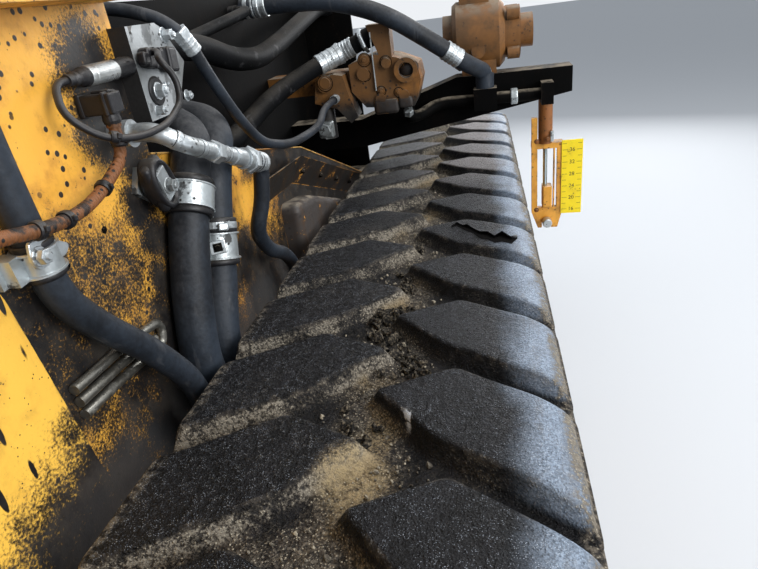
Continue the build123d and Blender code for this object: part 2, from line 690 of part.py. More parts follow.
# columns: name, radius, ferrule radius, points as out from the wall, y, up from the sill
LINES = [
    (
        "hose_a",
        16.0,
        19.0,
        [
            (21, -808.0, LIP_UP),
            (21, -808.0, 50.0),
            (21, -801.0, -75.0),
            (24, -765.0, -130.0),
            (33, -716.0, -192.0),
            (42, -667.0, -275.0),
            (38, -655.0, -365.0),
            (38, -655.0, PORT_UP),
        ],
    ),
    (
        "hose_b",
        27.0,
        29.0,
        [
            (BAY_OUT, -432.0, 34.0),
            (-50, -432.0, 34.0),
            (26, -472.0, 4.0),
            (29, -505.0, -32.0),
            (29, -556.0, -105.0),
            (29, -596.0, -190.0),
            (29, -620.0, -270.0),
            (29.5, -602.0, -365.0),
            (29.5, -602.0, PORT_UP),
        ],
    ),
    (
        "hose_c",
        25.0,
        27.0,
        [
            (BAY_OUT, -366.0, 22.0),
            (-60, -366.0, 22.0),
            (28, -388.0, 2.0),
            (27, -436.0, -58.0),
            (27, -472.0, -125.0),
            (27, -498.0, -195.0),
            (27, -532.0, -255.0),
            (27, -553.0, -325.0),
            (27.5, -540.0, -390.0),
            (27.5, -540.0, PORT_UP),
        ],
    ),
    (
        "hose_d",
        13.0,
        16.0,
        [
            ELBOW_END,
            (76.5, -372.0, -67.36),
            (66.5, -376.0, -130.0),
            (50.5, -390.0, -178.0),
            (38.5, -330.0, -238.0),
            (34.5, -240.0, -285.0),
            (32.5, -190.0, -360.0),
            (32.5, -190.0, PORT_UP),
        ],
    ),
    (
        "hose_e",
        8.5,
        11.0,
        [
            (BAY_OUT, -468.0, LIP_UP - 2),
            (-41.5, -468.0, LIP_UP - 2),
            (38.5, -456.0, 146.0),
            (48.5, -409.0, 60.0),
            (48.5, -350.0, -3.0),
            (48.5, -278.0, -58.0),
            (51.5, -150.0, -94.0),
            (60.5, 40.0, -104.0),
            (RELIEF_PORT_OUT, 230.0, RELIEF_PORT_UP),
            (RELIEF_PORT_OUT, VALVE_REAR_Y - RELIEF_PROUD, RELIEF_PORT_UP),
        ],
    ),
    (
        "hose_f",
        23.0,
        26.0,
        [
            (BAY_OUT, -70.0, -102.0),
            (-117, -70.0, -102.0),
            (-110, 40.0, -84.0),
            (-98, 190.0, -54.0),
            (-62, 320.0, -28.0),
            (RISER_OUT - 120, RISER_Y, RISER_UP - 120 * RISER_LEAN),
            (RISER_OUT, RISER_Y, RISER_UP),
        ],
    ),
    (
        "hose_g",
        24.0,
        27.0,
        [
            (BAY_OUT + 70.5, BAY_REAR_Y + BAY_T, 112.0),
            (BAY_OUT + 70.5, -430.0, 112.0),
            (BAY_OUT + 78.5, -280.0, 114.0),
            (BAY_OUT + 85.5, -135.0, 102.0),
            (BAY_OUT + 90.5, 0.0, 62.0),
            (BAY_OUT + 90.5, 150.0, 46.0),
            (BAY_OUT + 88.5, 320.0, 64.0),
            (BAY_OUT + 88.5, 540.0, 98.0),
            (BAY_OUT + 90.5, 740.0, 128.0),
            (BAY_OUT + 90.5, BAY_FRONT_Y - BAY_T, 128.0),
        ],
    ),
    (
        "hose_h",
        12.0,
        15.0,
        [
            (BAY_OUT + 40.5, BAY_REAR_Y + BAY_T, 80.0),
            (BAY_OUT + 40.5, -420.0, 80.0),
            (BAY_OUT + 44.0, -250.0, 96.0),
            (BAY_OUT + 52.0, -76.0, 117.0),
            (BAY_OUT + 60.0, 134.0, 140.0),
            (BAY_OUT + 56.0, 215.0, 148.0),
            (BAY_OUT + 45.0, 262.0, 150.0),
            (BAY_OUT, 262.0, 150.0),
        ],
    ),
    (
        "hose_i",
        23.0,
        26.0,
        [
            (BAY_OUT, 350.0, 156.0),
            (-90, 350.0, 156.0),
            (50, 360.0, 149.0),
            (186, 372.0, 100.0),
            (300, 410.0, 16.0),
            (385, 450.0, -52.0),
            (TEE_OUT, TEE_Y, -88.0),
            (TEE_OUT, TEE_Y, TEE_TOP_UP),
        ],
    ),
    (
        "elbow_tube",
        11.0,
        16.0,
        [
            (0, -604.0, 38.0),
            (52.5, -604.0, 38.0),
            (74.5, -588.0, 17.0),
            (76.5, -537.0, -4.0),
            ELBOW_END,
        ],
    ),
    (
        "sensor_lead",
        4.0,
        6.0,
        [
            (SENSOR_OUT, SENSOR_REAR_Y, SENSOR_UP),
            (SENSOR_OUT, -692.0, SENSOR_UP),
            (26.5, -712.0, 80.0),
            (48.5, -694.0, 51.0),
            (68.5, -660.0, 43.0),
            (73.5, -606.0, 45.0),
            (74.5, -566.0, 63.0),
            (72.5, -560.0, 90.0),
            (62.5, -570.0, 112.0),
            (45.5, -536.0, 119.0),
            (BRACKET_OUT + BRACKET_T, -536.0, 119.0),
        ],
    ),
    (
        "harness_loom",
        6.5,
        8.0,
        [
            (LAP_T, -945.0, 32.0),
            (26.5, -945.0, 32.0),
            (45.5, -872.0, 14.0),
            (47.5, -804.0, -1.0),
            (38.5, -748.0, -6.0),
            (28.5, -697.0, -2.0),
            (30.5, -644.0, 22.0),
            (30.5, -644.0, CONNECTOR_UP),
        ],
    ),
]
for name, line_r, ferrule_r, points in LINES:
    places = [from_wall(*point) for point in points]
    ferrule_l = 1.5 * ferrule_r
    with BuildPart() as line:
        with BuildLine() as route:
            FilletPolyline(*places, radius=corner_radii(places))
        start = Plane(origin=route.line @ 0, z_dir=route.line % 0)
        end = Plane(origin=route.line @ 1, z_dir=-(route.line % 1))
        with BuildSketch(start):
            Circle(line_r)
        sweep(path=route.line)
        for fitting in (start, end):
            with BuildSketch(fitting):
                Circle(ferrule_r)
            extrude(amount=ferrule_l)
    line.part.label = name
    export_step(line.part, f"parts/{name}.step")

# Cross lines: one pipe from the valve block to the tee, one from the tee to the port beside the tow point
with BuildPart() as cross_line:
    inner_run = [
        (VALVE_OUT + 147, VALVE_REAR_Y + 50, VALVE_LOW),
        (VALVE_OUT + 147, VALVE_REAR_Y + 50, VALVE_LOW - 40),
        (VALVE_OUT + 172, VALVE_REAR_Y + 104, VALVE_LOW - 48),
        (VALVE_OUT + 226, CROSS_LINE_Y, CROSS_LINE_UP),
        (TEE_OUT - TEE_W / 2, CROSS_LINE_Y, CROSS_LINE_UP),
    ]
    places = [from_wall(*point) for point in inner_run]
    with BuildLine() as route:
        FilletPolyline(*places, radius=corner_radii(places))
    with BuildSketch(Plane(origin=route.line @ 0, z_dir=route.line % 0)):
        Circle(CROSS_LINE_R)
    sweep(path=route.line)
    with BuildSketch(side_plane(WALL_X + TEE_OUT + TEE_W / 2)):
        with Locations((CROSS_LINE_Y, SILL_Z + CROSS_LINE_UP)):
            Circle(CROSS_LINE_R)
    extrude(amount=END_PORT_X - WALL_X - TEE_OUT - TEE_W / 2)
cross_line.part.label = "cross_line"
export_step(cross_line.part, "parts/cross_line.step")

# Three parallel steel tubes under hose A; the outer two are one tube with a return bend
TUBE_R = 6.0
TUBE_OUT = TUBE_R + 0.5
TUBE_REAR_Y = -815.0
TUBE_PITCH = 16.0
TUBE_UP = -190.0
with BuildPart() as steel_tubes:
    upper = [(TUBE_REAR_Y, TUBE_PITCH), (-720.0, TUBE_PITCH - 6), (-647.0, -2)]
    lower = [(-655.0, -2 - 2 * TUBE_PITCH), (-726.0, -TUBE_PITCH - 6), (TUBE_REAR_Y, -TUBE_PITCH)]
    middle = [(TUBE_REAR_Y, 0), (-723.0, -6), (-668.0, -17)]
    for run in (upper + lower, middle):
        places = [from_wall(TUBE_OUT, y, TUBE_UP + up) for y, up in run]
        with BuildLine() as route:
            FilletPolyline(*places, radius=corner_radii(places))
        with BuildSketch(Plane(origin=route.line @ 0, z_dir=route.line % 0)):
            Circle(TUBE_R)
        sweep(path=route.line)
steel_tubes.part.label = "steel_tubes"
export_step(steel_tubes.part, "parts/steel_tubes.step")

# Clamps: a band round the line, a leg to the wall and an ear for the bolt
EAR_T = 8.0
LEG_W = 16.0
# columns: name, line radius, out from the wall, y, up from the sill, run along y, run up, width, band, ear length
CLAMPS = [
    ("clamp_a", 16.0, 21.0, -803.5, -30.0, 7.0, -125.0, 26.0, 3.0, 8.0),
    ("clamp_b", 27.0, 29.0, -530.0, -68.0, -51.0, -73.0, 34.0, 6.0, 44.0),
    ("clamp_c", 25.0, 27.0, -485.0, -160.0, -26.0, -70.0, 40.0, 4.0, 12.0),
]
for name, line_r, out, y, up, run_y, run_up, width, band_t, ear_l in CLAMPS:
    with BuildPart() as clamp:
        with BuildSketch(Plane(origin=from_wall(out, y, up), x_dir=(-1, 0, 0), z_dir=(0, run_y, run_up))):
            Circle(line_r + RUNNING_GAP + band_t)
            with Locations((out / 2, -(line_r + LEG_W / 2))):
                Rectangle(out, LEG_W)
            with Locations((out - EAR_T / 2, -(line_r + LEG_W + ear_l / 2 - 2))):
                Rectangle(EAR_T, ear_l)
            with Locations((0, 0)):
                Circle(line_r + RUNNING_GAP, mode=Mode.SUBTRACT)
        extrude(amount=width / 2, both=True)
        split(bisect_by=side_plane(WALL_X), keep=Keep.TOP)
    clamp.part.label = name
    export_step(clamp.part, f"parts/{name}.step")

# Bracket plate: stands off the wall on its rear flange
BRACKET_REAR_Y = -550.0
BRACKET_LOW = 41.0
BRACKET_TOP = 150.0
BRACKET_CORNER = 10.0
# columns: y forward of the flange, height above the sill
BRACKET_OUTLINE = [(0, BRACKET_LOW), (68, BRACKET_LOW), (115, 98), (72, BRACKET_TOP), (0, BRACKET_TOP)]
with BuildPart() as bracket_plate:
    with BuildSketch(side_plane(WALL_X + BRACKET_OUT)):
        with BuildLine():
            Polyline(*[(BRACKET_REAR_Y + along, SILL_Z + up) for along, up in BRACKET_OUTLINE], close=True)
        make_face()
        chamfer(vertices().group_by(Axis.Y)[-1], BRACKET_CORNER)
    extrude(amount=BRACKET_T)
    with BuildSketch(side_plane(WALL_X)):
        with Locations((BRACKET_REAR_Y - BRACKET_T / 2, SILL_Z + (BRACKET_LOW + BRACKET_TOP) / 2)):
            Rectangle(BRACKET_T, BRACKET_TOP - BRACKET_LOW)
    extrude(amount=BRACKET_OUT + BRACKET_T)
bracket_plate.part.label = "bracket_plate"
export_step(bracket_plate.part, "parts/bracket_plate.step")

# Sensor: a turned body along Y, screwed into the bracket's flange
SENSOR_R = 11.0
with BuildPart() as sensor_body:
    with BuildSketch(cross_plane(SENSOR_REAR_Y)):
        with Locations((WALL_X + SENSOR_OUT, -(SILL_Z + SENSOR_UP))):
            Circle(SENSOR_R)
    extrude(amount=BRACKET_REAR_Y - BRACKET_T - SENSOR_REAR_Y)
sensor_body.part.label = "sensor_body"
export_step(sensor_body.part, "parts/sensor_body.step")

# Connector at the loom's upper end
CONNECTOR_Y = -642.0
CONNECTOR_L = 46.0
CONNECTOR_W = 26.0
with BuildPart() as loom_connector:
    with BuildSketch(level_plane(SILL_Z + CONNECTOR_UP)):
        with Locations((WALL_X + CONNECTOR_L / 2, CONNECTOR_Y)):
            Rectangle(CONNECTOR_L, CONNECTOR_W)
    extrude(amount=CONNECTOR_W)
loom_connector.part.label = "loom_connector"
export_step(loom_connector.part, "parts/loom_connector.step")

# Guard plate: leans out from the wall along its sloping top edge
GUARD_OUT = 34.0
GUARD_DROP = 60.0
GUARD_T = 4.0
# columns: y, height of the plate's top edge above the sill
GUARD_EDGE = [(-250.0, -130.0), (-39.0, -144.0), (516.0, -354.0)]
with BuildPart() as guard_plate:
    for y, up in GUARD_EDGE:
        edge_z = SILL_Z + up
        with BuildSketch(cross_plane(y)):
            with BuildLine():
                Polyline(
                    (WALL_X, -(edge_z - GUARD_DROP)),
                    (WALL_X + GUARD_OUT, -edge_z),
                    (WALL_X + GUARD_OUT - GUARD_T, -edge_z),
                    (WALL_X, -(edge_z - GUARD_DROP + 2 * GUARD_T)),
                    close=True,
                )
            make_face()
    loft(ruled=True)
guard_plate.part.label = "guard_plate"
export_step(guard_plate.part, "parts/guard_plate.step")

# Rounded housing on the wall below the guard plate
HOUSING_T = 42.0
HOUSING_CORNER_R = 20.0
HOUSING_RIM_R = 18.0
# columns: y, height above the sill
HOUSING_OUTLINE = [(-140.0, -385.0), (215.0, -385.0), (255.0, -345.0), (-20.0, -240.0), (-140.0, -220.0)]
with BuildPart() as round_housing:
    with BuildSketch(side_plane(WALL_X)):
        with BuildLine():
            Polyline(*[(y, SILL_Z + up) for y, up in HOUSING_OUTLINE], close=True)
        make_face()
        fillet(vertices(), HOUSING_CORNER_R)
    extrude(amount=HOUSING_T)
    fillet(faces().sort_by(Axis.X)[-1].edges(), HOUSING_RIM_R)
round_housing.part.label = "round_housing"
export_step(round_housing.part, "parts/round_housing.step")

# Cross beam: from the bay's back plate over the belt to the tow point, with the blocks that take the cross lines
CROSS_INNER_TOP_Z = SILL_Z - 195.0
CROSS_INNER_LOW_Z = CROSS_INNER_TOP_Z - 85.0
CROSS_KNEE_X = WALL_X + 48.5
CROSS_HEAD_L = 330.0
CROSS_BELOW_HEAD = 30.0
with BuildPart() as cross_beam:
    with BuildSketch(cross_plane(CROSS_REAR_Y)):
        with BuildLine():
            Polyline(
                (BAY_X, -CROSS_INNER_TOP_Z),
                (BAY_X, -CROSS_INNER_LOW_Z),
                (CROSS_KNEE_X, -CROSS_INNER_LOW_Z),
                (CROSS_OUT_X, -(TOW_TOP_Z - CROSS_BELOW_HEAD)),
                (CROSS_OUT_X, -CROSS_TOP_Z),
                (CROSS_OUT_X - CROSS_HEAD_L, -CROSS_TOP_Z),
                (CROSS_KNEE_X, -CROSS_INNER_TOP_Z),
                close=True,
            )
        make_face()
    extrude(amount=CROSS_FRONT_Y - CROSS_REAR_Y)
    with BuildSketch(level_plane(SILL_Z + TEE_TOP_UP - TEE_H)):
        with Locations((WALL_X + TEE_OUT, CROSS_REAR_Y - TEE_D / 2)):
            Rectangle(TEE_W, TEE_D)
        with Locations((END_PORT_X + TEE_W / 4, CROSS_REAR_Y - TEE_D / 2)):
            Rectangle(TEE_W / 2, TEE_D)
    extrude(amount=TEE_H)
cross_beam.part.label = "cross_beam"
export_step(cross_beam.part, "parts/cross_beam.step")

# Pump group: a cast pump on the cross beam, its axis across the machine
PUMP_Y = CROSS_FRONT_Y
PUMP_Z = CROSS_TOP_Z + 102
PUMP_R = 95.0
PUMP_MIDDLE_X = PUMP_X + 100.0
PUMP_FOOT_W = 100.0
PUMP_FOOT_H = 60.0
PUMP_FOOT_REAR_Y = CROSS_REAR_Y + 10.0
PUMP_BOSS_R = 20.0
PUMP_BOSS_UP = -35.0
PUMP_BOSS_L = 50.0
PUMP_BLOCK_X = PUMP_X + 92.0
PUMP_BLOCK_W = 84.0
PUMP_BLOCK_D = 76.0
PUMP_BLOCK_ABOVE = 24.0
FLANGE_LUG_X = PUMP_X + 182.0
FLANGE_LUG_R = 17.0
FLANGE_LUG_L = 34.0
FLANGE_LUGS_Y = 116.0
FLANGE_LUGS_Z = 104.0
# columns: x from the pump's inner end, radius
PUMP_PROFILE = [(0, 62), (28, 62), (28, 86), (40, PUMP_R), (160, PUMP_R), (176, 78), (176, 70), (220, 70), (220, 46), (256, 46)]
with BuildPart() as pump_group:
    with BuildSketch(section_plane(PUMP_Y, PUMP_Z)):
        with BuildLine():
            Polyline(
                (PUMP_X, 0),
                *[(PUMP_X + x, r) for x, r in PUMP_PROFILE],
                (PUMP_X + PUMP_PROFILE[-1][0], 0),
                close=True,
            )
        make_face()
    revolve(axis=axle_axis(PUMP_Y, PUMP_Z))
    with BuildSketch(level_plane(CROSS_TOP_Z)):
        with Locations((PUMP_MIDDLE_X, (PUMP_FOOT_REAR_Y + CROSS_FRONT_Y) / 2)):
            Rectangle(PUMP_FOOT_W, CROSS_FRONT_Y - PUMP_FOOT_REAR_Y)
    extrude(amount=PUMP_FOOT_H)
    with BuildSketch(cross_plane(PUMP_Y - PUMP_R + 3)):
        with Locations((PUMP_MIDDLE_X, -(PUMP_Z + PUMP_BOSS_UP))):
            Circle(PUMP_BOSS_R)
    extrude(amount=PUMP_BOSS_L)
    with BuildSketch(level_plane(PUMP_Z)):
        with Locations((PUMP_BLOCK_X, PUMP_Y)):
            Rectangle(PUMP_BLOCK_W, PUMP_BLOCK_D)
    extrude(amount=PUMP_R + PUMP_BLOCK_ABOVE)
    with BuildSketch(side_plane(FLANGE_LUG_X)):
        with Locations((PUMP_Y, PUMP_Z)):
            with GridLocations(FLANGE_LUGS_Y, FLANGE_LUGS_Z, 2, 2):
                Circle(FLANGE_LUG_R)
    extrude(amount=FLANGE_LUG_L)
pump_group.part.label = "pump_group"
export_step(pump_group.part, "parts/pump_group.step")

# Valve block: a cast body with its bosses, held on an arm from the bay's back plate, with a relief valve beside it
# columns: out from the body's inner end, height above the sill
VALVE_OUTLINE = [
    (0, -16),
    (70, 4),
    (134, -10),
    (188, -34),
    (195, -72),
    (180, -122),
    (172, VALVE_LOW),
    (122, VALVE_LOW),
    (36, -132),
    (0, -86),
]
# columns: out from the wall, height above the sill
RELIEF_OUTLINE = [(-36, -104), (-25, -44), (26, -32), (52, -38), (62, -86), (82, -150), (60, -166), (26, -124)]
# columns: out from the body's inner end, height above the sill, radius, how far it stands proud
VALVE_BOSSES = [(39, -43, 17, 8), (106, -21, 13, 12), (80, -112, 14, 6), (146, -108, 14, 6), (158, -43, 32, 16)]
BOSS_ROOT = 4.0
RING_BORE_R = 20.0
RING_BORE_DEPTH = 14.0
RISER_W = 60.0
RISER_TOP_UP = RISER_UP + 28.0
RISER_LOW_UP = -12.0
RISER_OUTER_OUT = RISER_OUT + 52.0
PLUG_OUT = -2.0
PLUG_UP = -60.0
PLUG_R = 15.0
PLUG_PROUD = 10.0
STUB_OUT = -14.0
STUB_R = 23.0
STUB_LOW = -206.0
STUB_H = 106.0
VALVE_X = WALL_X + VALVE_OUT
ARM_W = 80.0
ARM_LOW = -90.0
ARM_TOP = -34.0
with BuildPart() as valve_block:
    with BuildSketch(cross_plane(VALVE_REAR_Y)):
        with BuildLine():
            Polyline(*[(VALVE_X + out, -(SILL_Z + up)) for out, up in VALVE_OUTLINE], close=True)
        make_face()
    extrude(amount=VALVE_L)
    for out, up, boss_r, proud in VALVE_BOSSES:
        with BuildSketch(cross_plane(VALVE_REAR_Y - proud)):
            with Locations((VALVE_X + out, -(SILL_Z + up))):
                Circle(boss_r)
        extrude(amount=proud + BOSS_ROOT)
    ring_out, ring_up, ring_r, ring_proud = VALVE_BOSSES[-1]
    with BuildSketch(cross_plane(VALVE_REAR_Y - ring_proud)):
        with Locations((VALVE_X + ring_out, -(SILL_Z + ring_up))):
            Circle(RING_BORE_R)
    extrude(amount=ring_proud + RING_BORE_DEPTH, mode=Mode.SUBTRACT)
    with BuildSketch(cross_plane(RISER_Y - RISER_W / 2)):
        with BuildLine():
            Polyline(
                (WALL_X + RISER_OUT - (RISER_TOP_UP - RISER_UP) * RISER_LEAN, -(SILL_Z + RISER_TOP_UP)),
                (WALL_X + RISER_OUTER_OUT, -(SILL_Z + RISER_TOP_UP)),
                (WALL_X + RISER_OUTER_OUT, -(SILL_Z + RISER_LOW_UP)),
                (WALL_X + RISER_OUT + (RISER_UP - RISER_LOW_UP) * RISER_LEAN, -(SILL_Z + RISER_LOW_UP)),
                close=True,
            )
        make_face()
    extrude(amount=RISER_W)
    with BuildSketch(side_plane(BAY_X)):
        with Locations((VALVE_REAR_Y + RELIEF_T - RELIEF_PROUD + ARM_W / 2, SILL_Z + (ARM_LOW + ARM_TOP) / 2)):
            Rectangle(ARM_W, ARM_TOP - ARM_LOW)
    extrude(amount=VALVE_X - BAY_X)
    with BuildSketch(cross_plane(VALVE_REAR_Y - RELIEF_PROUD)):
        with BuildLine():
            Polyline(*[(WALL_X + out, -(SILL_Z + up)) for out, up in RELIEF_OUTLINE], close=True)
        make_face()
    extrude(amount=RELIEF_T)
    with BuildSketch(cross_plane(VALVE_REAR_Y - RELIEF_PROUD - PLUG_PROUD)):
        with Locations((WALL_X + PLUG_OUT, -(SILL_Z + PLUG_UP))):
            Circle(PLUG_R)
    extrude(amount=PLUG_PROUD + BOSS_ROOT)
    with BuildSketch(level_plane(SILL_Z + STUB_LOW)):
        with Locations((WALL_X + STUB_OUT, VALVE_REAR_Y)):
            Circle(STUB_R)
    extrude(amount=STUB_H)
valve_block.part.label = "valve_block"
export_step(valve_block.part, "parts/valve_block.step")

# Tow point: a guide frame on a strap from the cross beam, its cylinder, and the block that slides in it
BAR_X = TOW_INNER_W / 2 + TOW_BAR / 2
FRAME_W = TOW_INNER_W + 2 * TOW_BAR
FRAME_REAR_Y = TOW_Y - TOW_BAR / 2
STRAP_Y = TOW_Y + BARREL_R + 1
STRAP_T = 8.0
STRAP_W = 36.0
HEAD_D = STRAP_Y + STRAP_T - CROSS_FRONT_Y
PLATE_IN_LEFT = 20.0
PLATE_IN_RIGHT = 14.0
NOTCH_W = 2 * PIN_R - 1
PIN_PROUD = 6.0
with BuildPart() as tow_guide:
    with BuildSketch(cross_plane(FRAME_REAR_Y)):
        with BuildLine():
            Polyline(
                (TOW_X - FRAME_W / 2, -LEFT_BAR_TOP_Z),
                (TOW_X - FRAME_W / 2, -(TOW_WINDOW_LOW_Z - TOW_BAR)),
                (TOW_X - FRAME_W / 2 + PLATE_IN_LEFT, -TOW_PLATE_LOW_Z),
                (TOW_X + FRAME_W / 2 - PLATE_IN_RIGHT, -TOW_PLATE_LOW_Z),
                (TOW_X + FRAME_W / 2, -(TOW_WINDOW_LOW_Z - TOW_BAR)),
                (TOW_X + FRAME_W / 2, -(TOW_WINDOW_TOP_Z + TOW_BAR)),
                (TOW_X - TOW_INNER_W / 2, -(TOW_WINDOW_TOP_Z + TOW_BAR)),
                (TOW_X - TOW_INNER_W / 2, -LEFT_BAR_TOP_Z),
                close=True,
            )
        make_face()
        with Locations((TOW_X, -(TOW_WINDOW_LOW_Z + TOW_WINDOW_TOP_Z) / 2)):
            Rectangle(TOW_INNER_W, TOW_WINDOW_TOP_Z - TOW_WINDOW_LOW_Z, mode=Mode.SUBTRACT)
        with Locations((STRIP_X, -(TOW_WINDOW_LOW_Z + TOW_WINDOW_TOP_Z) / 2)):
            Rectangle(STRIP_W, TOW_WINDOW_TOP_Z - TOW_WINDOW_LOW_Z)
        with Locations((TOW_X, -(PIN_Z + TOW_PLATE_LOW_Z) / 2)):
            Rectangle(NOTCH_W, PIN_Z - TOW_PLATE_LOW_Z, mode=Mode.SUBTRACT)
    extrude(amount=TOW_BAR)
    with BuildSketch(cross_plane(FRAME_REAR_Y - PIN_PROUD)):
        with Locations((TOW_X, -PIN_Z)):
            Circle(PIN_R)
    extrude(amount=TOW_BAR + 2 * PIN_PROUD)
    with BuildSketch(level_plane(TOW_WINDOW_TOP_Z)):
        with Locations((TOW_X, (FRAME_REAR_Y + STRAP_Y + STRAP_T) / 2)):
            Rectangle(FRAME_W, STRAP_Y + STRAP_T - FRAME_REAR_Y)
    extrude(amount=TOW_BAR)
    with BuildSketch(level_plane(TOW_WINDOW_TOP_Z)):
        with Locations((ROD_X, TOW_Y)):
            Circle(ROD_R + RUNNING_GAP)
    extrude(amount=TOW_BAR, mode=Mode.SUBTRACT)
    with BuildSketch(level_plane(TOW_WINDOW_TOP_Z)):
        with Locations((ROD_X, STRAP_Y + STRAP_T / 2)):
            Rectangle(STRAP_W, STRAP_T)
    extrude(amount=TOW_TOP_Z - TOW_WINDOW_TOP_Z)
    with BuildSketch(level_plane(TOW_TOP_Z - TOW_BAR)):
        with Locations((TOW_X, CROSS_FRONT_Y + HEAD_D / 2)):
            Rectangle(FRAME_W, HEAD_D)
    extrude(amount=TOW_BAR)
tow_guide.part.label = "tow_guide"
export_step(tow_guide.part, "parts/tow_guide.step")

ROD_IN_BARREL = 60.0
GLAND_GAP = 3.0
BARREL_LOW_Z = TOW_WINDOW_TOP_Z + TOW_BAR
BARREL_L = TOW_TOP_Z - TOW_BAR - BARREL_LOW_Z
BARREL_END_T = 5.0
with BuildPart() as tow_cylinder:
    with BuildSketch(level_plane(BARREL_LOW_Z)):
        with Locations((ROD_X, TOW_Y)):
            Circle(BARREL_R)
    extrude(amount=BARREL_L)
    with BuildSketch(level_plane(BARREL_LOW_Z)):
        with Locations((ROD_X, TOW_Y)):
            Circle(ROD_R + GLAND_GAP)
    extrude(amount=BARREL_L - BARREL_END_T, mode=Mode.SUBTRACT)
tow_cylinder.part.label = "tow_cylinder"
export_step(tow_cylinder.part, "parts/tow_cylinder.step")

BLOCK_LOW_Z = TOW_WINDOW_LOW_Z + TOW_CLEAR
BLOCK_CHAMFER = 3.0
with BuildPart() as tow_block:
    with BuildSketch(level_plane(BLOCK_LOW_Z)):
        with Locations((STRIP_X - STRIP_W / 2 - TOW_CLEAR - TOW_BLOCK_W / 2, TOW_Y)):
            Rectangle(TOW_BLOCK_W, TOW_BLOCK_D)
    extrude(amount=TOW_BLOCK_H)
    chamfer(edges().filter_by(Axis.Z), BLOCK_CHAMFER)
tow_block.part.label = "tow_block"
export_step(tow_block.part, "parts/tow_block.step")

with BuildPart() as tow_rod:
    with BuildSketch(level_plane(BLOCK_LOW_Z + TOW_BLOCK_H)):
        with Locations((ROD_X, TOW_Y)):
            Circle(ROD_R)
    extrude(amount=BARREL_LOW_Z + ROD_IN_BARREL - BLOCK_LOW_Z - TOW_BLOCK_H)
tow_rod.part.label = "tow_rod"
export_step(tow_rod.part, "parts/tow_rod.step")

SCALE_T = 3.0
with BuildPart() as tow_scale:
    with BuildSketch(cross_plane(FRAME_REAR_Y - SCALE_T)):
        with Locations((SCALE_OUT_X - SCALE_W / 2, -(TOW_WINDOW_LOW_Z + SCALE_ABOVE + SCALE_H / 2))):
            Rectangle(SCALE_W, SCALE_H)
    extrude(amount=SCALE_T)
tow_scale.part.label = "tow_scale"
export_step(tow_scale.part, "parts/tow_scale.step")
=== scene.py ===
# %% [markdown]
# # The rubber track side of a paver
#
# The object is the right-hand side of a road-building machine that runs on rubber tracks: a wide belt with
# slanting tread lugs, the wheels and rollers inside it, and a chassis wall that carries hoses, clamps,
# castings and a tow point with a height scale. The solid model comes in as a frame. This script gives every
# surface its finish, and adds what is too fine for the solid model: the moulded tread, bands, nuts and
# bolts, scale marks, and the grit of the building site.

# %% Load the solid model
import math
import random

import bmesh
import bpy
from mathutils import Euler, Matrix, Vector, noise


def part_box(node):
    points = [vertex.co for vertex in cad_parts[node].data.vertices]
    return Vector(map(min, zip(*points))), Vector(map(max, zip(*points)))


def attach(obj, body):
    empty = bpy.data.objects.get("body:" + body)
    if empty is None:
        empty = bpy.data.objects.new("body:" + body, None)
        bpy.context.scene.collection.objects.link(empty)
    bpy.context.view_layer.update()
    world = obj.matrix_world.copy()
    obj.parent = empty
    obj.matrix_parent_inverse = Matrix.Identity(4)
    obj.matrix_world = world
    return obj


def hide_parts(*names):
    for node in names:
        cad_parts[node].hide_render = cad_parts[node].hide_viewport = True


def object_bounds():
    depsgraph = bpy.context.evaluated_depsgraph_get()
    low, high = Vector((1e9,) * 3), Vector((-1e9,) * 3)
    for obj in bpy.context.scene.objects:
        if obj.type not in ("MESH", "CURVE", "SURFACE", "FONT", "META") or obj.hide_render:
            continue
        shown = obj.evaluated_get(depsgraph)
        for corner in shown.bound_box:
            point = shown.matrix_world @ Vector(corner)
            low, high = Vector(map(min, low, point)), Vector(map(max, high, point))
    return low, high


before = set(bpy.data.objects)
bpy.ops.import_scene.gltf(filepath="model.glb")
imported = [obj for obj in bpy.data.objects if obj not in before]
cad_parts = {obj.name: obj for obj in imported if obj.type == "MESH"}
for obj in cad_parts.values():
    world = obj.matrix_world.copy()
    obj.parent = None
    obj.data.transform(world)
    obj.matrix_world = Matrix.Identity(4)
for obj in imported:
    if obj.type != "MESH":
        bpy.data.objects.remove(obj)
cad_low, cad_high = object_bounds()
print("solid model:", len(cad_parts), "nodes,", [round(side, 3) for side in cad_high - cad_low], "m")

# %% [markdown]
# ## Camera
#
# The view is that of someone who leans over the track's rear end and looks forward along it. A camera can be
# placed by three directions: where its right side points, where its top points, and what is behind it.
# Those three are the columns of its rotation matrix.

# %% Camera
def shown(name, data):
    """A new object of the scene that shows some data, such as a camera, a lamp or a mesh."""
    thing = bpy.data.objects.new(name, data)
    bpy.context.scene.collection.objects.link(thing)
    return thing


CAMERA_PLACE = (0.19175, -1.205, 1.438)
CAMERA_RIGHT = (0.98013, 0.1558, -0.12276)
CAMERA_UP = (0.03651, 0.46662, 0.8837)
CAMERA_BACK = (0.19496, -0.87063, 0.45166)
CAMERA_LENS = 27.07
camera_data = bpy.data.cameras.new("camera")
camera_data.lens = CAMERA_LENS
camera_data.clip_start = 0.01
camera = shown("camera", camera_data)
camera_turn = Matrix((CAMERA_RIGHT, CAMERA_UP, CAMERA_BACK)).transposed().to_4x4()
camera.matrix_world = Matrix.Translation(CAMERA_PLACE) @ camera_turn
bpy.context.scene.camera = camera
print("camera looks along", [round(-part, 2) for part in CAMERA_BACK])

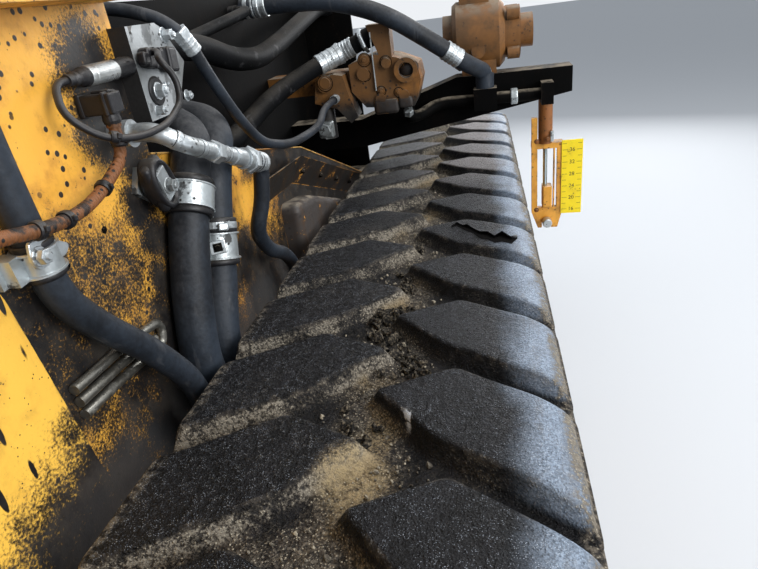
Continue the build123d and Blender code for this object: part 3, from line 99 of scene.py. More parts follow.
# %% [markdown]
# ## Shader arithmetic
#
# A material here is written as sums. `Wire` stands for one output of a node, and Python's own operators on it
# add Math nodes, so `1 - dust * 0.5` builds the nodes that it names; its `step` turns a range of values into
# a mask from 0 to 1. `Finish` holds one material: its `node` method makes any node from its type, its
# settings, and the values or wires of its sockets, and `coats` lays colours over each other by masks. The
# other methods are the patterns that this object needs again and again.

# %% Shader arithmetic
FINISHES = {}  # every material by the name of its finish


class Wire:
    """One output of a shader node; arithmetic on it adds Math nodes."""

    def __init__(self, finish, socket):
        self.finish = finish
        self.socket = socket

    def math(self, operation, first, second):
        return self.finish.node("ShaderNodeMath", {"operation": operation}, {0: first, 1: second})

    def __add__(self, other):
        return self.math("ADD", self, other)

    def __sub__(self, other):
        return self.math("SUBTRACT", self, other)

    def __rsub__(self, other):
        return self.math("SUBTRACT", other, self)

    def __mul__(self, other):
        return self.math("MULTIPLY", self, other)

    def over(self, other):
        return self.math("MAXIMUM", self, other)

    def step(self, low, high):
        """A smooth step from 0 at low to 1 at high; it falls instead where low is the larger."""
        sockets = {"Value": self, "From Min": low, "From Max": high}
        return self.finish.node("ShaderNodeMapRange", {"interpolation_type": "SMOOTHSTEP"}, sockets)

    __radd__ = __add__
    __rmul__ = __mul__


def linear(shade):
    """A colour as a picture editor shows it, 0 to 255, in the linear values of shaders; a wire stays."""
    if isinstance(shade, Wire):
        return shade
    return (*[((part / 255 + 0.055) / 1.055) ** 2.4 for part in shade], 1.0)


class Finish:
    """One material, mixed from patterns in the object's own coordinates."""

    def __init__(self, name, roughness=0.6):
        FINISHES[name] = self.material = bpy.data.materials.new(name)
        self.material.use_nodes = True
        self.nodes = self.material.node_tree.nodes
        self.links = self.material.node_tree.links
        self.shader = self.nodes["Principled BSDF"]
        self.place = self.node("ShaderNodeTexCoord", output="Object")
        self.set(Roughness=roughness)

    def node(self, kind, settings=None, inputs=None, output=0):
        """Any shader node: settings first, then the values or wires of its sockets."""
        node = self.nodes.new(kind)
        for name, value in (settings or {}).items():
            setattr(node, name, value)
        for name, value in (inputs or {}).items():
            self.feed(node.inputs[name], value)
        return Wire(self, node.outputs[output])

    def feed(self, socket, value):
        if isinstance(value, Wire):
            self.links.new(value.socket, socket)
        else:
            socket.default_value = value

    def set(self, **values):
        """Feed the surface shader; an underscore in a name stands for a space."""
        for name, value in values.items():
            self.feed(self.shader.inputs[name.replace("_", " ")], value)

    def coats(self, base, *layers):
        """Colours over a base colour; each layer is the share it covers, from 0 to 1, and its colour."""
        for share, shade in layers:
            sockets = {0: share, 6: linear(base), 7: linear(shade)}
            base = self.node("ShaderNodeMix", {"data_type": "RGBA"}, sockets, output=2)
        return base

    def stretched(self, x, y, z, turn=0.0):
        """The object's coordinates, turned about x and drawn out along one or two axes."""
        sockets = {"Vector": self.place, "Rotation": (turn, 0, 0), "Scale": (x, y, z)}
        return self.node("ShaderNodeMapping", inputs=sockets)

    def cloud(self, per_metre, detail=3.0, rough=0.55, place=None):
        """Soft noise between about 0.3 and 0.7, with so many lumps in a metre."""
        sockets = {"Vector": place or self.place, "Scale": per_metre, "Detail": detail, "Roughness": rough}
        return self.node("ShaderNodeTexNoise", inputs=sockets)

    def grains(self, per_metre, place=None):
        """Distance to the nearest of many scattered points: dark dots where it is small."""
        return self.node("ShaderNodeTexVoronoi", inputs={"Vector": place or self.place, "Scale": per_metre})

    def attribute(self, name):
        """A value that was written on the mesh's points."""
        return self.node("ShaderNodeAttribute", {"attribute_name": name}, output="Fac")

    def along(self, axis):
        """The place along an axis, in metres: 0 is x, 1 is y, 2 is z."""
        return self.node("ShaderNodeSeparateXYZ", inputs={0: self.place}, output=axis)

    def facing(self, axis):
        """How far the surface faces along an axis, from -1 to 1."""
        normal = self.node("ShaderNodeNewGeometry", output="Normal")
        return self.node("ShaderNodeSeparateXYZ", inputs={0: normal}, output=axis)

    def between(self, operation, first, second):
        """One number from two vectors, such as their distance."""
        settings = {"operation": operation}
        return self.node("ShaderNodeVectorMath", settings, {0: first, 1: second}, output="Value")

    def spot(self, centre, outer, inner):
        """1 near a point of the object, falling to 0 at the outer distance."""
        return self.between("DISTANCE", self.place, centre).step(outer, inner)

    def edges(self, radius):
        """1 along sharp edges, 0 on flat faces: where a rounded normal departs from the face's own."""
        round_normal = self.node("ShaderNodeBevel", {"samples": 4}, {"Radius": radius})
        flat_normal = self.node("ShaderNodeNewGeometry", output="Normal")
        return self.between("DOT_PRODUCT", round_normal, flat_normal).step(1.0, 0.65)

    def bump(self, height, distance):
        """Relief from a height wire; distance is its full depth in metres."""
        sockets = {"Height": height, "Distance": distance, "Strength": 1.0}
        self.set(Normal=self.node("ShaderNodeBump", inputs=sockets))


TAR = (24, 22, 21)
DUST = (142, 132, 117)
print("shader helpers ready")

# %% [markdown]
# ## Floor and light
#
# A plain pale floor carries the object's shadow. The light is soft: a large panel low on the open outboard
# side, where the site is, one above, a weaker one from the front, and very little from the chassis side. The
# camera, glossy surfaces and clear ones see the world as white; everything else gets its plain grey light.
# Every shape here starts as a bmesh, Blender's editable mesh, and `mesh_of` turns it into a plain one.

# %% Floor and light
def mesh_of(shape, name):
    """Turns a finished bmesh into a mesh and frees it."""
    mesh = bpy.data.meshes.new(name)
    shape.to_mesh(mesh)
    shape.free()
    return mesh


FLOOR_SIZE = 30.0
FLOOR_GAP = 0.0005
bpy.context.scene.view_settings.view_transform = "Standard"

floor_shape = bmesh.new()
bmesh.ops.create_grid(floor_shape, x_segments=1, y_segments=1, size=FLOOR_SIZE)
floor = shown("floor", mesh_of(floor_shape, "floor"))
floor.location.z = cad_low.z - FLOOR_GAP
floor_finish = Finish("pale_floor", roughness=0.85)
floor_finish.set(Base_Color=linear((205, 208, 212)))
floor.data.materials.append(floor_finish.material)

# columns: name, place, where it points, side length, power
LAMPS = [
    ("open_site_panel", (4.2, -2.4, 2.9), (0.0, -0.3, 0.9), 2.6, 250.0),
    ("sky_panel", (1.6, 1.0, 4.4), (0.0, -0.2, 0.9), 2.6, 110.0),
    ("front_panel", (1.6, 4.6, 2.2), (0.0, 0.0, 0.9), 2.0, 70.0),
    ("chassis_panel", (-4.2, 0.6, 2.4), (0.0, 0.0, 0.8), 2.5, 30.0),
]
for name, place, target, side, power in LAMPS:
    lamp_data = bpy.data.lights.new(name, "AREA")
    lamp_data.size = side
    lamp_data.energy = power
    lamp = shown(name, lamp_data)
    lamp.location = place
    lamp.rotation_euler = (Vector(target) - Vector(place)).to_track_quat("-Z", "Y").to_euler()

world = bpy.data.worlds.new("open_sky")
world.use_nodes = True
bpy.context.scene.world = world
sky_nodes = world.node_tree.nodes
sky_links = world.node_tree.links
sky_light = sky_nodes["Background"]
sky_light.inputs["Color"].default_value = linear((225, 232, 240))
sky_light.inputs["Strength"].default_value = 0.5
seen_sky = sky_nodes.new("ShaderNodeBackground")
seen_sky.inputs["Color"].default_value = linear((238, 241, 245))
rays = sky_nodes.new("ShaderNodeLightPath").outputs
seen = rays["Is Camera Ray"]
for kind in ("Is Glossy Ray", "Is Transmission Ray"):
    either = sky_nodes.new("ShaderNodeMath")
    either.operation = "MAXIMUM"
    sky_links.new(seen, either.inputs[0])
    sky_links.new(rays[kind], either.inputs[1])
    seen = either.outputs[0]
sky_mix = sky_nodes.new("ShaderNodeMixShader")
for socket, wire in enumerate((seen, sky_light.outputs[0], seen_sky.outputs[0])):
    sky_links.new(wire, sky_mix.inputs[socket])
sky_links.new(sky_mix.outputs[0], sky_nodes["World Output"].inputs["Surface"])
print("lamps:", [lamp[0] for lamp in LAMPS])

# %% [markdown]
# ## Track rubber
#
# Worn rubber is nearly black and half glossy on the tops of the lugs, where the ground polishes it, and
# pebbled all over by the chippings that it rolls on. Fine cement dust lies on everything that the wheels
# don't rub: the flanks, the floor between the lugs, and the pores of the tops. Flanks that face the open
# outboard and rear side are lightened more, which is dust and painted light together. In the middle, where
# the two rows of arms meet, grit collects. A painted bluish sheen lies on the outboard shoulders, a pale
# painted sheen on the far tops of the top run, and painted glints speck the tops. The mesh carries two
# values that place all this: `lift`, from 0 at the belt's surface to 1 at a lug's top, and `across`, from -1
# at the chassis side to 1 at the outboard edge. The masks come first, then the dust and painted flank light
# that they add up to, and last the colours of rubber, painted sheen and grit.

# %% Track rubber
PILE_AT = (0.0447, -0.7953, 1.0093)
SCUFF_AT = (0.0958, -0.7248, 1.0228)


def track_rubber():
    finish = Finish("track_rubber")
    lift = finish.attribute("lift")
    across = finish.attribute("across")
    fine = finish.grains(330.0)
    sand = finish.cloud(330.0, detail=4.0, rough=0.7)
    pebbles = finish.cloud(120.0, detail=5.0, rough=0.65)
    lumps = finish.cloud(11.0, detail=5.0)
    patches = finish.cloud(3.4, detail=4.0)
    streaks = finish.cloud(60.0, detail=4.0, place=finish.stretched(1.0, 0.25, 1.0))
    sandy = sand.step(0.42, 0.6)
    coarse_sand = sand.step(0.4, 0.6)
    low = lift.step(0.8, 0.2)
    top = lift.step(0.9, 0.985)
    rim = lift.step(0.6, 0.9) * lift.step(1.0, 0.985)
    painted_shoulder_sheen = (across + lumps * 0.36).step(0.8, 1.06) * lift.step(0.05, 0.4) * across.step(1.0, 0.94)
    middle = across.step(-0.34, -0.05) * across.step(0.42, 0.12)
    inboard = across.step(0.02, -0.1)

    dusty_half = 0.3 + 0.7 * across.step(0.3, -0.02)
    dusty_lumps = 0.15 + 0.85 * (lumps + middle * 0.14).step(0.4, 0.64)
    floor_dust = low * dusty_half * dusty_lumps * (0.3 + 0.7 * sandy)
    both_edges = across.step(-0.86, -1.0) + (across + pebbles * 0.1).step(0.95, 1.03)
    edge_dust = both_edges * pebbles.step(0.36, 0.6)
    # Flanks that face outboard and rearward, towards the open side, get more of the pale colour: dust, and
    # painted light where that side is lit.
    facing_the_light = (finish.facing(0) * 0.7 - finish.facing(1) * 0.7).step(0.1, 0.42)
    worn_flank = 0.25 + 0.75 * (lumps + pebbles * 0.5).step(0.62, 0.84)
    flank_dust_and_light = lift.step(0.05, 0.3) * lift.step(0.98, 0.7) * facing_the_light * (0.25 + 0.75 * sandy) * worn_flank
    speck = finish.grains(470.0).step(0.3, 0.12) * pebbles.step(0.46, 0.64) * (0.2 + 0.4 * inboard)
    top_dust = speck + top * patches.step(0.5, 0.7) * sandy * (0.1 + 0.3 * inboard)
    rim_dust = rim * streaks.step(0.42, 0.6) * 0.3
    pile = finish.spot(PILE_AT, 0.05, 0.02) * (0.5 + 0.5 * sandy)
    scuff = finish.spot(SCUFF_AT, 0.026, 0.004) * streaks.step(0.5, 0.6)
    # This dust total also carries the painted light on those flanks.
    dust = (floor_dust + edge_dust * 0.8 + flank_dust_and_light + top_dust + rim_dust + pile + scuff).step(0.0, 1.0)

    # Painted reflection: the tops at the top run's far end are lightened to a pale pink grey, as sky sheen.
    far = finish.along(1).step(0.05, 0.6) * finish.along(2).step(0.7, 0.9) * across.step(-0.5, 0.3)
    painted_glints = finish.grains(560.0).step(0.34, 0.1) * pebbles.step(0.42, 0.62)
    # Painted sheen and highlights: a bluish grey on the outboard shoulders, and painted glints on tops and
    # shoulders.
    black = finish.coats(
        (7, 7, 9),
        ((streaks + pebbles * 0.3).step(0.5, 0.85), (20, 20, 23)),
        (far * top * (0.25 + 0.4 * coarse_sand), (150, 141, 138)),
        (painted_shoulder_sheen * (0.5 + 0.45 * sandy), (150, 165, 184)),
        (painted_glints * (top * 0.55 + painted_shoulder_sheen * 0.9), (190, 199, 212)),
    )
    grit = finish.coats(
        (52, 45, 38),
        (pebbles.step(0.36, 0.66), (112, 104, 93)),
        (fine.step(0.45, 0.15) * sandy, (188, 178, 158)),
        (flank_dust_and_light * 0.7, (146, 140, 128)),
        (lumps.step(0.5, 0.66) * middle * low * 0.7, (140, 122, 92)),
        (pile * pebbles.step(0.3, 0.56), (158, 140, 106)),
        (scuff, (196, 200, 206)),
    )
    finish.set(Base_Color=finish.coats(black, (dust, grit)), Roughness=0.27 + dust * 0.55 + coarse_sand * 0.14)
    finish.set(Specular_IOR_Level=0.15)
    grain = fine.step(0.5, 0.0) * 0.2 + sand * 0.4 + pebbles * (0.55 + 0.5 * inboard + 0.3 * low)
    finish.bump(grain + lumps * 0.9 + streaks * 0.2, 0.0042)


track_rubber()
print("track rubber:", len(FINISHES["track_rubber"].node_tree.nodes), "nodes")

# %% [markdown]
# ## The belt's path
#
# The belt is made straight and then bent round its wheels. `on_belt` says where a point of the straight belt
# ends up: `x` across it, `s` along it from the drive wheel's upper tangent, and `lift` outward of the wheels'
# rims. Lengths are true in the middle of the carcass, where the steel cords lie.

# %% The belt's path
BELT_W = 0.457
BELT_X = 0.04875
CARCASS_T = 0.03
LUG_H = 0.028
AXLE_DISTANCE = 2.25
PITCH_COUNT = 40
ARMS_START = 0.1715
DRIVE_AXLE = (-1.105, 0.518)
IDLER_AXLE = (1.145, 0.478)
DRIVE_R = 0.46
IDLER_R = 0.42
SLOPE = 2 * math.asin((DRIVE_R - IDLER_R) / math.hypot(AXLE_DISTANCE, DRIVE_R - IDLER_R))
IDLER_CORD_R = IDLER_R + CARCASS_T / 2
DRIVE_CORD_R = DRIVE_R + CARCASS_T / 2
IDLER_ARC = (math.pi - SLOPE) * IDLER_CORD_R
DRIVE_ARC = (math.pi + SLOPE) * DRIVE_CORD_R
BELT_LENGTH = 2 * AXLE_DISTANCE + IDLER_ARC + DRIVE_ARC
PITCH = BELT_LENGTH / PITCH_COUNT


def on_belt(x, s, lift):
    s = s % BELT_LENGTH
    axle, radius, along = DRIVE_AXLE, DRIVE_R, 0.0
    if s < AXLE_DISTANCE:
        turn = SLOPE
        along = s
    elif s < AXLE_DISTANCE + IDLER_ARC:
        turn = SLOPE + (s - AXLE_DISTANCE) / IDLER_CORD_R
        axle, radius = IDLER_AXLE, IDLER_R
    elif s < 2 * AXLE_DISTANCE + IDLER_ARC:
        turn = math.pi
        axle, radius, along = IDLER_AXLE, IDLER_R, s - AXLE_DISTANCE - IDLER_ARC
    else:
        turn = math.pi + (s - 2 * AXLE_DISTANCE - IDLER_ARC) / DRIVE_CORD_R
    reach = radius + lift
    y = axle[0] + math.sin(turn) * reach + math.cos(turn) * along
    z = axle[1] + math.cos(turn) * reach - math.sin(turn) * along
    return Vector((BELT_X + x, y, z))


print("belt:", round(BELT_LENGTH, 4), "m round,", round(PITCH * 1000, 1), "mm between lugs")

# %% [markdown]
# ## One arm of the tread
#
# A moulded rubber lug has no sharp line: its foot flows out of the belt, its flank leans inward so that it
# leaves the mould and sheds mud, and its edges are worn round. The arm starts as the outline of its foot.
# Each row of `ARM_STAGES` insets the top face and lifts it: three small stages flow out of the belt, and the
# fourth is the straight flank. Then the slanting corners are bevelled, and after them the rim of the top.
# Cuts across the arm give it the points that it needs to bend over the wheels. Last, its outer end is pulled
# inside the belt's edge. The outboard row is also rolled over there like a tyre's shoulder: it meets kerbs
# and fresh mat edges, while the inboard row stays square.

# %% One arm of the tread
# columns: x outward from the belt's centre line, along the belt from the arm's middle
ARM_OUTLINE = [(-0.0291, 0.0679), (0.0679, -0.0343), (0.2395, -0.1387), (0.2395, 0.0372), (0.0961, 0.1274)]
ARM_FOOT = -0.001
# columns: inset, rise
ARM_STAGES = [(0.0034, 0.0012), (0.0033, 0.0028), (0.0026, 0.0036), (0.0082, 0.0214)]
ARM_CORNER = 0.01
ARM_RIM = 0.0042
ARM_TOP_END_X = 0.222
SHOULDER_X = 0.178
SHOULDER_REST = 0.06
CUT_ALONG = 0.0125
CUT_ACROSS = 0.012
MERGE = 0.0002


def bevel(shape, edges, width, segments=3):
    """Rounds edges; what the editor takes for granted, the operator has to be told."""
    editor = {"affect": "EDGES", "profile": 0.5, "material": -1}
    bmesh.ops.bevel(shape, geom=edges, offset=width, segments=segments, **editor)


def span_along(edge, axis=2):
    """How far an edge runs along an axis."""
    return abs(edge.verts[0].co[axis] - edge.verts[1].co[axis])


def cut_every(shape, axis, step, low, high):
    """Cuts right through a shape square to an axis, at regular distances."""
    normal = Vector((axis == 0, axis == 1, axis == 2))
    for count in range(int((high - low) / step)):
        place = normal * (low + (count + 0.5) * step)
        whole = shape.verts[:] + shape.edges[:] + shape.faces[:]
        bmesh.ops.bisect_plane(shape, geom=whole, plane_co=place, plane_no=normal, dist=1e-6)


def tread_arm(side):
    """One arm on the flat: side is 1 for the outboard half of the belt and -1 for the inboard half."""
    arm = bmesh.new()
    top = arm.faces.new([arm.verts.new((x, s, ARM_FOOT)) for x, s in ARM_OUTLINE])
    arm.normal_update()
    for inset, rise in ARM_STAGES:
        bmesh.ops.inset_individual(arm, faces=[top], thickness=inset, depth=rise, use_even_offset=True)
    bevel(arm, [edge for edge in arm.edges if span_along(edge) > 0.0005], ARM_CORNER)
    highest = max(vert.co.z for vert in arm.verts) - MERGE / 2
    bevel(arm, [edge for edge in arm.edges if all(vert.co.z > highest for vert in edge.verts)], ARM_RIM)
    for axis, step in ((1, CUT_ALONG), (0, CUT_ACROSS)):
        places = [vert.co[axis] for vert in arm.verts]
        cut_every(arm, axis, step, min(places), max(places))
    foot_end_x = max(vert.co.x for vert in arm.verts)
    steepness = (BELT_W / 2 - ARM_TOP_END_X) / (foot_end_x - ARM_TOP_END_X)
    for vert in arm.verts:
        vert.co.x = min(vert.co.x, ARM_TOP_END_X + (vert.co.x - ARM_TOP_END_X) * steepness)
        out = max((vert.co.x - SHOULDER_X) / (BELT_W / 2 - SHOULDER_X), 0.0)
        if side > 0:
            vert.co.z *= SHOULDER_REST + (1 - SHOULDER_REST) * math.sqrt(max(1 - out * out, 0.0))
    if side < 0:
        bmesh.ops.scale(arm, vec=(-1, 1, 1), verts=arm.verts)
    bmesh.ops.remove_doubles(arm, verts=arm.verts, dist=MERGE)
    bmesh.ops.recalc_face_normals(arm, faces=arm.faces)
    return mesh_of(arm, "tread_arm")


ARM_MESHES = [tread_arm(1), tread_arm(-1)]
print("one arm:", len(ARM_MESHES[0].polygons), "faces")

# %% [markdown]
# ## Tread and carcass
#
# The arms stand in a herringbone: outboard arms at even half pitches, inboard arms at odd ones. Every copy's
# points go through `on_belt`. A slow noise sinks the tops by up to a millimetre, unevenly, as wear does. The
# carcass is a long straight bar with rounded edges, cut into short lengths, bent the same way and joined end
# to end. Guide blocks on its inside run between the wheels' rims and keep the belt from walking sideways.

# %% Tread and carcass
WEAR = 0.0011
WEAR_LUMPS = 23.0
CARCASS_CUTS = 264
CARCASS_CUT_ACROSS = 0.057
EDGE_R = 0.006


def add_piece(name, shape, finish, smooth=False):
    """Makes a finished bmesh into an object that rides on the frame's root body."""
    mesh = mesh_of(shape, name)
    mesh.materials.append(FINISHES[finish])
    if smooth:
        mesh.shade_smooth()
    piece = shown(name, mesh)
    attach(piece, "root")
    print(name, "has", sum(len(face.vertices) - 2 for face in mesh.polygons), "triangles")
    return piece


def box(size, place=(0, 0, 0)):
    """A plain box of three side lengths round a place."""
    shape = bmesh.new()
    bmesh.ops.create_cube(shape, size=1.0)
    bmesh.ops.scale(shape, vec=size, verts=shape.verts)
    bmesh.ops.translate(shape, vec=place, verts=shape.verts)
    return shape


def belt_piece(copies):
    """Bends copies of straight meshes round the belt; copies holds pairs of a mesh and its place along it."""
    shape = bmesh.new()
    lift_layer = shape.verts.layers.float.new("lift")
    across_layer = shape.verts.layers.float.new("across")
    for mesh, s in copies:
        start = len(shape.verts)
        shape.from_mesh(mesh)
        shape.verts.ensure_lookup_table()
        for vert in shape.verts[start:]:
            x, along, rise = vert.co
            share = min(max(rise / LUG_H, 0.0), 1.0)
            vert[lift_layer] = share
            vert[across_layer] = x / (BELT_W / 2)
            place = on_belt(x, s + along, CARCASS_T + rise)
            worn = WEAR * share * (0.5 + noise.noise(place * WEAR_LUMPS))
            vert.co = on_belt(x, s + along, CARCASS_T + rise - max(worn, 0.0))
    return shape


tread = belt_piece([(ARM_MESHES[step % 2], ARMS_START + step * PITCH / 2) for step in range(2 * PITCH_COUNT)])
belt_tread = add_piece("belt_tread", tread, "track_rubber", smooth=True)

bar = box((BELT_W, BELT_LENGTH, CARCASS_T), (0, BELT_LENGTH / 2, -CARCASS_T / 2))
end_faces = [face for face in bar.faces if abs(face.normal.y) > 0.5]
bmesh.ops.delete(bar, geom=end_faces, context="FACES_ONLY")
bevel(bar, bar.edges[:], EDGE_R)
cut_every(bar, 0, CARCASS_CUT_ACROSS, -BELT_W / 2, BELT_W / 2)
cut_every(bar, 1, BELT_LENGTH / CARCASS_CUTS, 0.0, BELT_LENGTH)
carcass = belt_piece([(mesh_of(bar, "straight_carcass"), 0.0)])
bmesh.ops.remove_doubles(carcass, verts=carcass.verts, dist=MERGE)
belt_carcass = add_piece("belt_carcass", carcass, "track_rubber", smooth=True)

GUIDE_W, GUIDE_L, GUIDE_H = 0.06, 0.096, 0.062
GUIDE_ROOT = 0.01
GUIDE_TAPER = 0.56
block = box((GUIDE_W, GUIDE_L, GUIDE_H + GUIDE_ROOT), (0, 0, (GUIDE_ROOT - GUIDE_H) / 2 - CARCASS_T))
tip = [vert for vert in block.verts if vert.co.z < -CARCASS_T - GUIDE_H / 2]
bmesh.ops.scale(block, vec=(GUIDE_TAPER, 1 - (1 - GUIDE_TAPER) * GUIDE_W / GUIDE_L, 1), verts=tip)
bevel(block, block.edges[:], EDGE_R)
block_mesh = mesh_of(block, "guide_block")
guides = belt_piece([(block_mesh, (count + 0.25) * PITCH) for count in range(PITCH_COUNT)])
belt_guides = add_piece("belt_guides", guides, "track_rubber", smooth=True)
for piece in (belt_tread, belt_carcass, belt_guides):
    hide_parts("track_belt")

# %% [markdown]
# ## Paint
#
# Machine paint on a building site ages in layers, and the finish is built up in the same order: paint that
# the sun has bleached in patches, a brown film and runs of dirt, chips and worn edges that show what is under
# it, drops and smears of bitumen, and dust on whatever faces up. Dark blots sit round the hoses, the sensor and
# below the sill: bitumen where hands and grease guns reach, and painted shade where hoses and edges shade the
# wall. A short table places such blots on the wall: each row is one soft blot.

# %% Paint
BLOT_RAGGED = 0.06


def blots(finish, rows):
    """Soft blots on an upright wall; columns: y, z and radius in millimetres, and strength in percent."""
    sockets = {"Vector": finish.place, "Scale": 13.0, "Detail": 7.0}
    ragged = finish.node("ShaderNodeTexNoise", inputs=sockets, output=1)
    sockets = {0: ragged, 1: (0.0, BLOT_RAGGED, BLOT_RAGGED), 2: finish.stretched(0.0, 1.0, 1.0)}
    flat = finish.node("ShaderNodeVectorMath", {"operation": "MULTIPLY_ADD"}, sockets)
    total = 0.0
    for y, z, radius, strength in rows:
        centre = (0.0, y / 1000 + BLOT_RAGGED / 2, z / 1000 + BLOT_RAGGED / 2)
        away = finish.between("DISTANCE", flat, centre)
        total = (away.step(radius * 0.0019, radius * 0.0003) * (strength / 100)).over(total)
    spatter = finish.cloud(300.0, rough=0.7) * 1.5 + finish.cloud(45.0, detail=5.0) * 0.8
    return (total + spatter - 1.15).step(0.12, 0.92)


def worn_paint(name, fresh, faded, under, film, tar, roughness=0.35, shine=0.5, **extra):
    """Aged paint. The extras are smears, a table of soft blots of bitumen, and on the wall also painted shade;
    splats, slanting splashes; oily, the heights where oil starts and is full; and back, dirt on the side that
    faces inboard."""
    finish = Finish(name)
    sun = finish.cloud(2.6, detail=4.0)
    mottle = finish.cloud(24.0, detail=6.0, rough=0.62)
    drips = finish.cloud(34.0, detail=4.0, place=finish.stretched(1.0, 1.0, 0.12))
    fine = finish.cloud(210.0)
    dirt = mottle.step(0.46, 0.74) * film * 0.8 + drips.step(0.52, 0.72) * film * 0.6
    bare = finish.edges(0.0025) * mottle.step(0.42, 0.56) + (fine * 0.6 + mottle).step(0.98, 1.03)
    drops = finish.grains(66.0).step(0.25, 0.18) * finish.cloud(6.0).step(0.44, 0.54)
    spray = finish.grains(170.0).step(0.16, 0.08) * finish.cloud(11.0).step(0.5, 0.6)
    black = (drops + spray) * tar
    if "splats" in extra:
        slant = finish.stretched(1.0, 1.0, 0.22, turn=0.9)
        black = black + (finish.grains(62.0, slant) + mottle * 0.16).step(0.33, 0.28) * extra["splats"]
    # Dark blots: bitumen smears, and on the wall also painted shade round the hoses, the sensor and under the
    # sill.
    if "smears" in extra:
        black = black + blots(finish, extra["smears"]) * finish.facing(0).step(-0.5, 0.0)
    if "oily" in extra:
        black = black + (finish.along(2) + mottle * 0.06).step(*extra["oily"])
    black = black.step(0.0, 1.0)
    back_dirt = finish.facing(0).step(-0.7, -0.95) * (mottle + drips).step(0.7, 1.2)
    dust = finish.facing(2).step(0.5, 0.95) * mottle.step(0.36, 0.6) * 0.7
    paint = finish.coats(
        fresh,
        ((sun + mottle * 0.4).step(0.6, 0.82), faded),
        (dirt, (88, 62, 34)),
        (bare.step(0.0, 1.0), under),
        (black, finish.coats((20, 19, 20), (mottle.step(0.4, 0.66), (46, 42, 38)))),
        (back_dirt * extra.get("back", 0.0), (92, 87, 80)),
        (dust, DUST),
    )
    finish.set(Base_Color=paint, Roughness=roughness + dirt * 0.25 + dust * 0.4 + bare * 0.1)
    finish.set(Specular_IOR_Level=shine)
    finish.bump(fine * 0.25 + mottle * 0.35 + black * 0.4, 0.0011)


RUST = (74, 50, 34)
# Wall blots: bitumen smears, and painted shade round the hoses, round the sensor and below the sill.
# columns: y, z and radius in millimetres, strength in percent
WALL_SMEARS_AND_SHADE = [
    (-590, 1402, 50, 100), (-602, 1350, 45, 100), (-553, 1366, 55, 100), (-545, 1325, 50, 100),
    (-556, 1284, 34, 90), (-580, 1245, 36, 100), (-568, 1190, 36, 100), (-580, 1130, 40, 95),
    (-600, 1070, 60, 100), (-664, 1180, 75, 72), (-725, 1190, 75, 72), (-795, 1220, 60, 95),
    (-800, 1165, 70, 90), (-770, 1120, 75, 90), (-700, 1110, 60, 68), (-440, 1130, 60, 85),
    (-430, 1040, 80, 90), (-330, 1035, 70, 95), (-270, 970, 110, 100), (-490, 980, 110, 100),
    (-640, 970, 100, 100), (-690, 1040, 70, 85), (-760, 1020, 60, 72), (-780, 960, 80, 100),
    (-860, 950, 90, 100), (-140, 1150, 50, 95), (-60, 1130, 70, 100), (60, 1110, 110, 100),
    (180, 1080, 130, 100), (-60, 1060, 80, 95), (-230, 1200, 40, 80), (60, 1020, 150, 100),
    (280, 950, 200, 100), (560, 900, 200, 90), (-100, 880, 200, 100), (-350, 820, 200, 95),
]
LAP_SMEARS = [
    (-800, 990, 80, 100), (-860, 960, 90, 100), (-940, 920, 110, 100), (-1060, 860, 120, 100),
    (-1200, 800, 120, 90), (-815, 1090, 26, 70),
]
# name, fresh paint, bleached paint, what shows under it, dirty film, tar, roughness, shine
worn_paint("wall_yellow", (230, 170, 64), (202, 136, 50), RUST, 0.42, 0.95, 0.42, smears=WALL_SMEARS_AND_SHADE)
worn_paint("lap_yellow", (240, 188, 76), (224, 166, 60), RUST, 0.36, 1.0, 0.42, smears=LAP_SMEARS, splats=1.0)
worn_paint("frame_yellow", (228, 164, 62), (196, 132, 50), RUST, 0.55, 0.6, 0.42)
# A pale yellow for the sill's thin edge strip: a painted highlight of the edge, with some wear and tar.
worn_paint("painted_edge_highlight", (226, 178, 96), (188, 130, 66), (60, 52, 44), 0.8, 0.9)
worn_paint("scale_yellow", (252, 226, 22), (246, 214, 26), (150, 130, 30), 0.12, 0.12)
worn_paint("guard_black", (34, 31, 29), (24, 23, 22), (205, 145, 62), 0.5, 0.3, 0.55, 0.25)
worn_paint("housing_dark", (62, 58, 56), (34, 32, 32), (196, 138, 58), 0.4, 0.4, 0.5, 0.3)
# Near black, darker than the paint itself: painted shade of the machine's body over the bay and beam, which is
# left out.
worn_paint("black_and_painted_shade", (6, 6, 6), (4, 4, 5), (26, 23, 20), 0.02, 0.2, 0.6, 0.04, back=0.8)
worn_paint("wheel_black", (58, 54, 50), (40, 37, 35), RUST, 0.7, 0.2, 0.6)
worn_paint("casting_tan", (122, 82, 42), (82, 58, 34), (52, 42, 34), 0.9, 0.5, 0.5, 0.35)
worn_paint("valve_tan", (158, 106, 50), (104, 72, 40), (44, 36, 30), 0.9, 0.8, 0.5, 0.35, oily=(1.235, 1.185))
worn_paint("cast_brown", (138, 86, 42), (98, 64, 36), (54, 40, 30), 0.9, 0.6, 0.5, 0.35)
print("paints:", sorted(set(FINISHES) - {"pale_floor", "track_rubber"}))

# %% [markdown]
# ## Metal, rubber and plastic
#
# Zinc plating is a pale grey metal with cloudy stains and black drops of tar; on the bracket, the faces that
# turn rearward are painted near black, as shade. A turned or drawn tube is cleaner, and a chromed rod cleaner
# still, with thin scratches along its stroke. Hose rubber is matt slate grey, scuffed along its length and
# dusty on top; the hoses deep in the bay get a near-black copy of it, as painted shade. The ribbed loom that
# covers the harness has taken on the colour of the dirt, and its ribs are a wave along the machine.

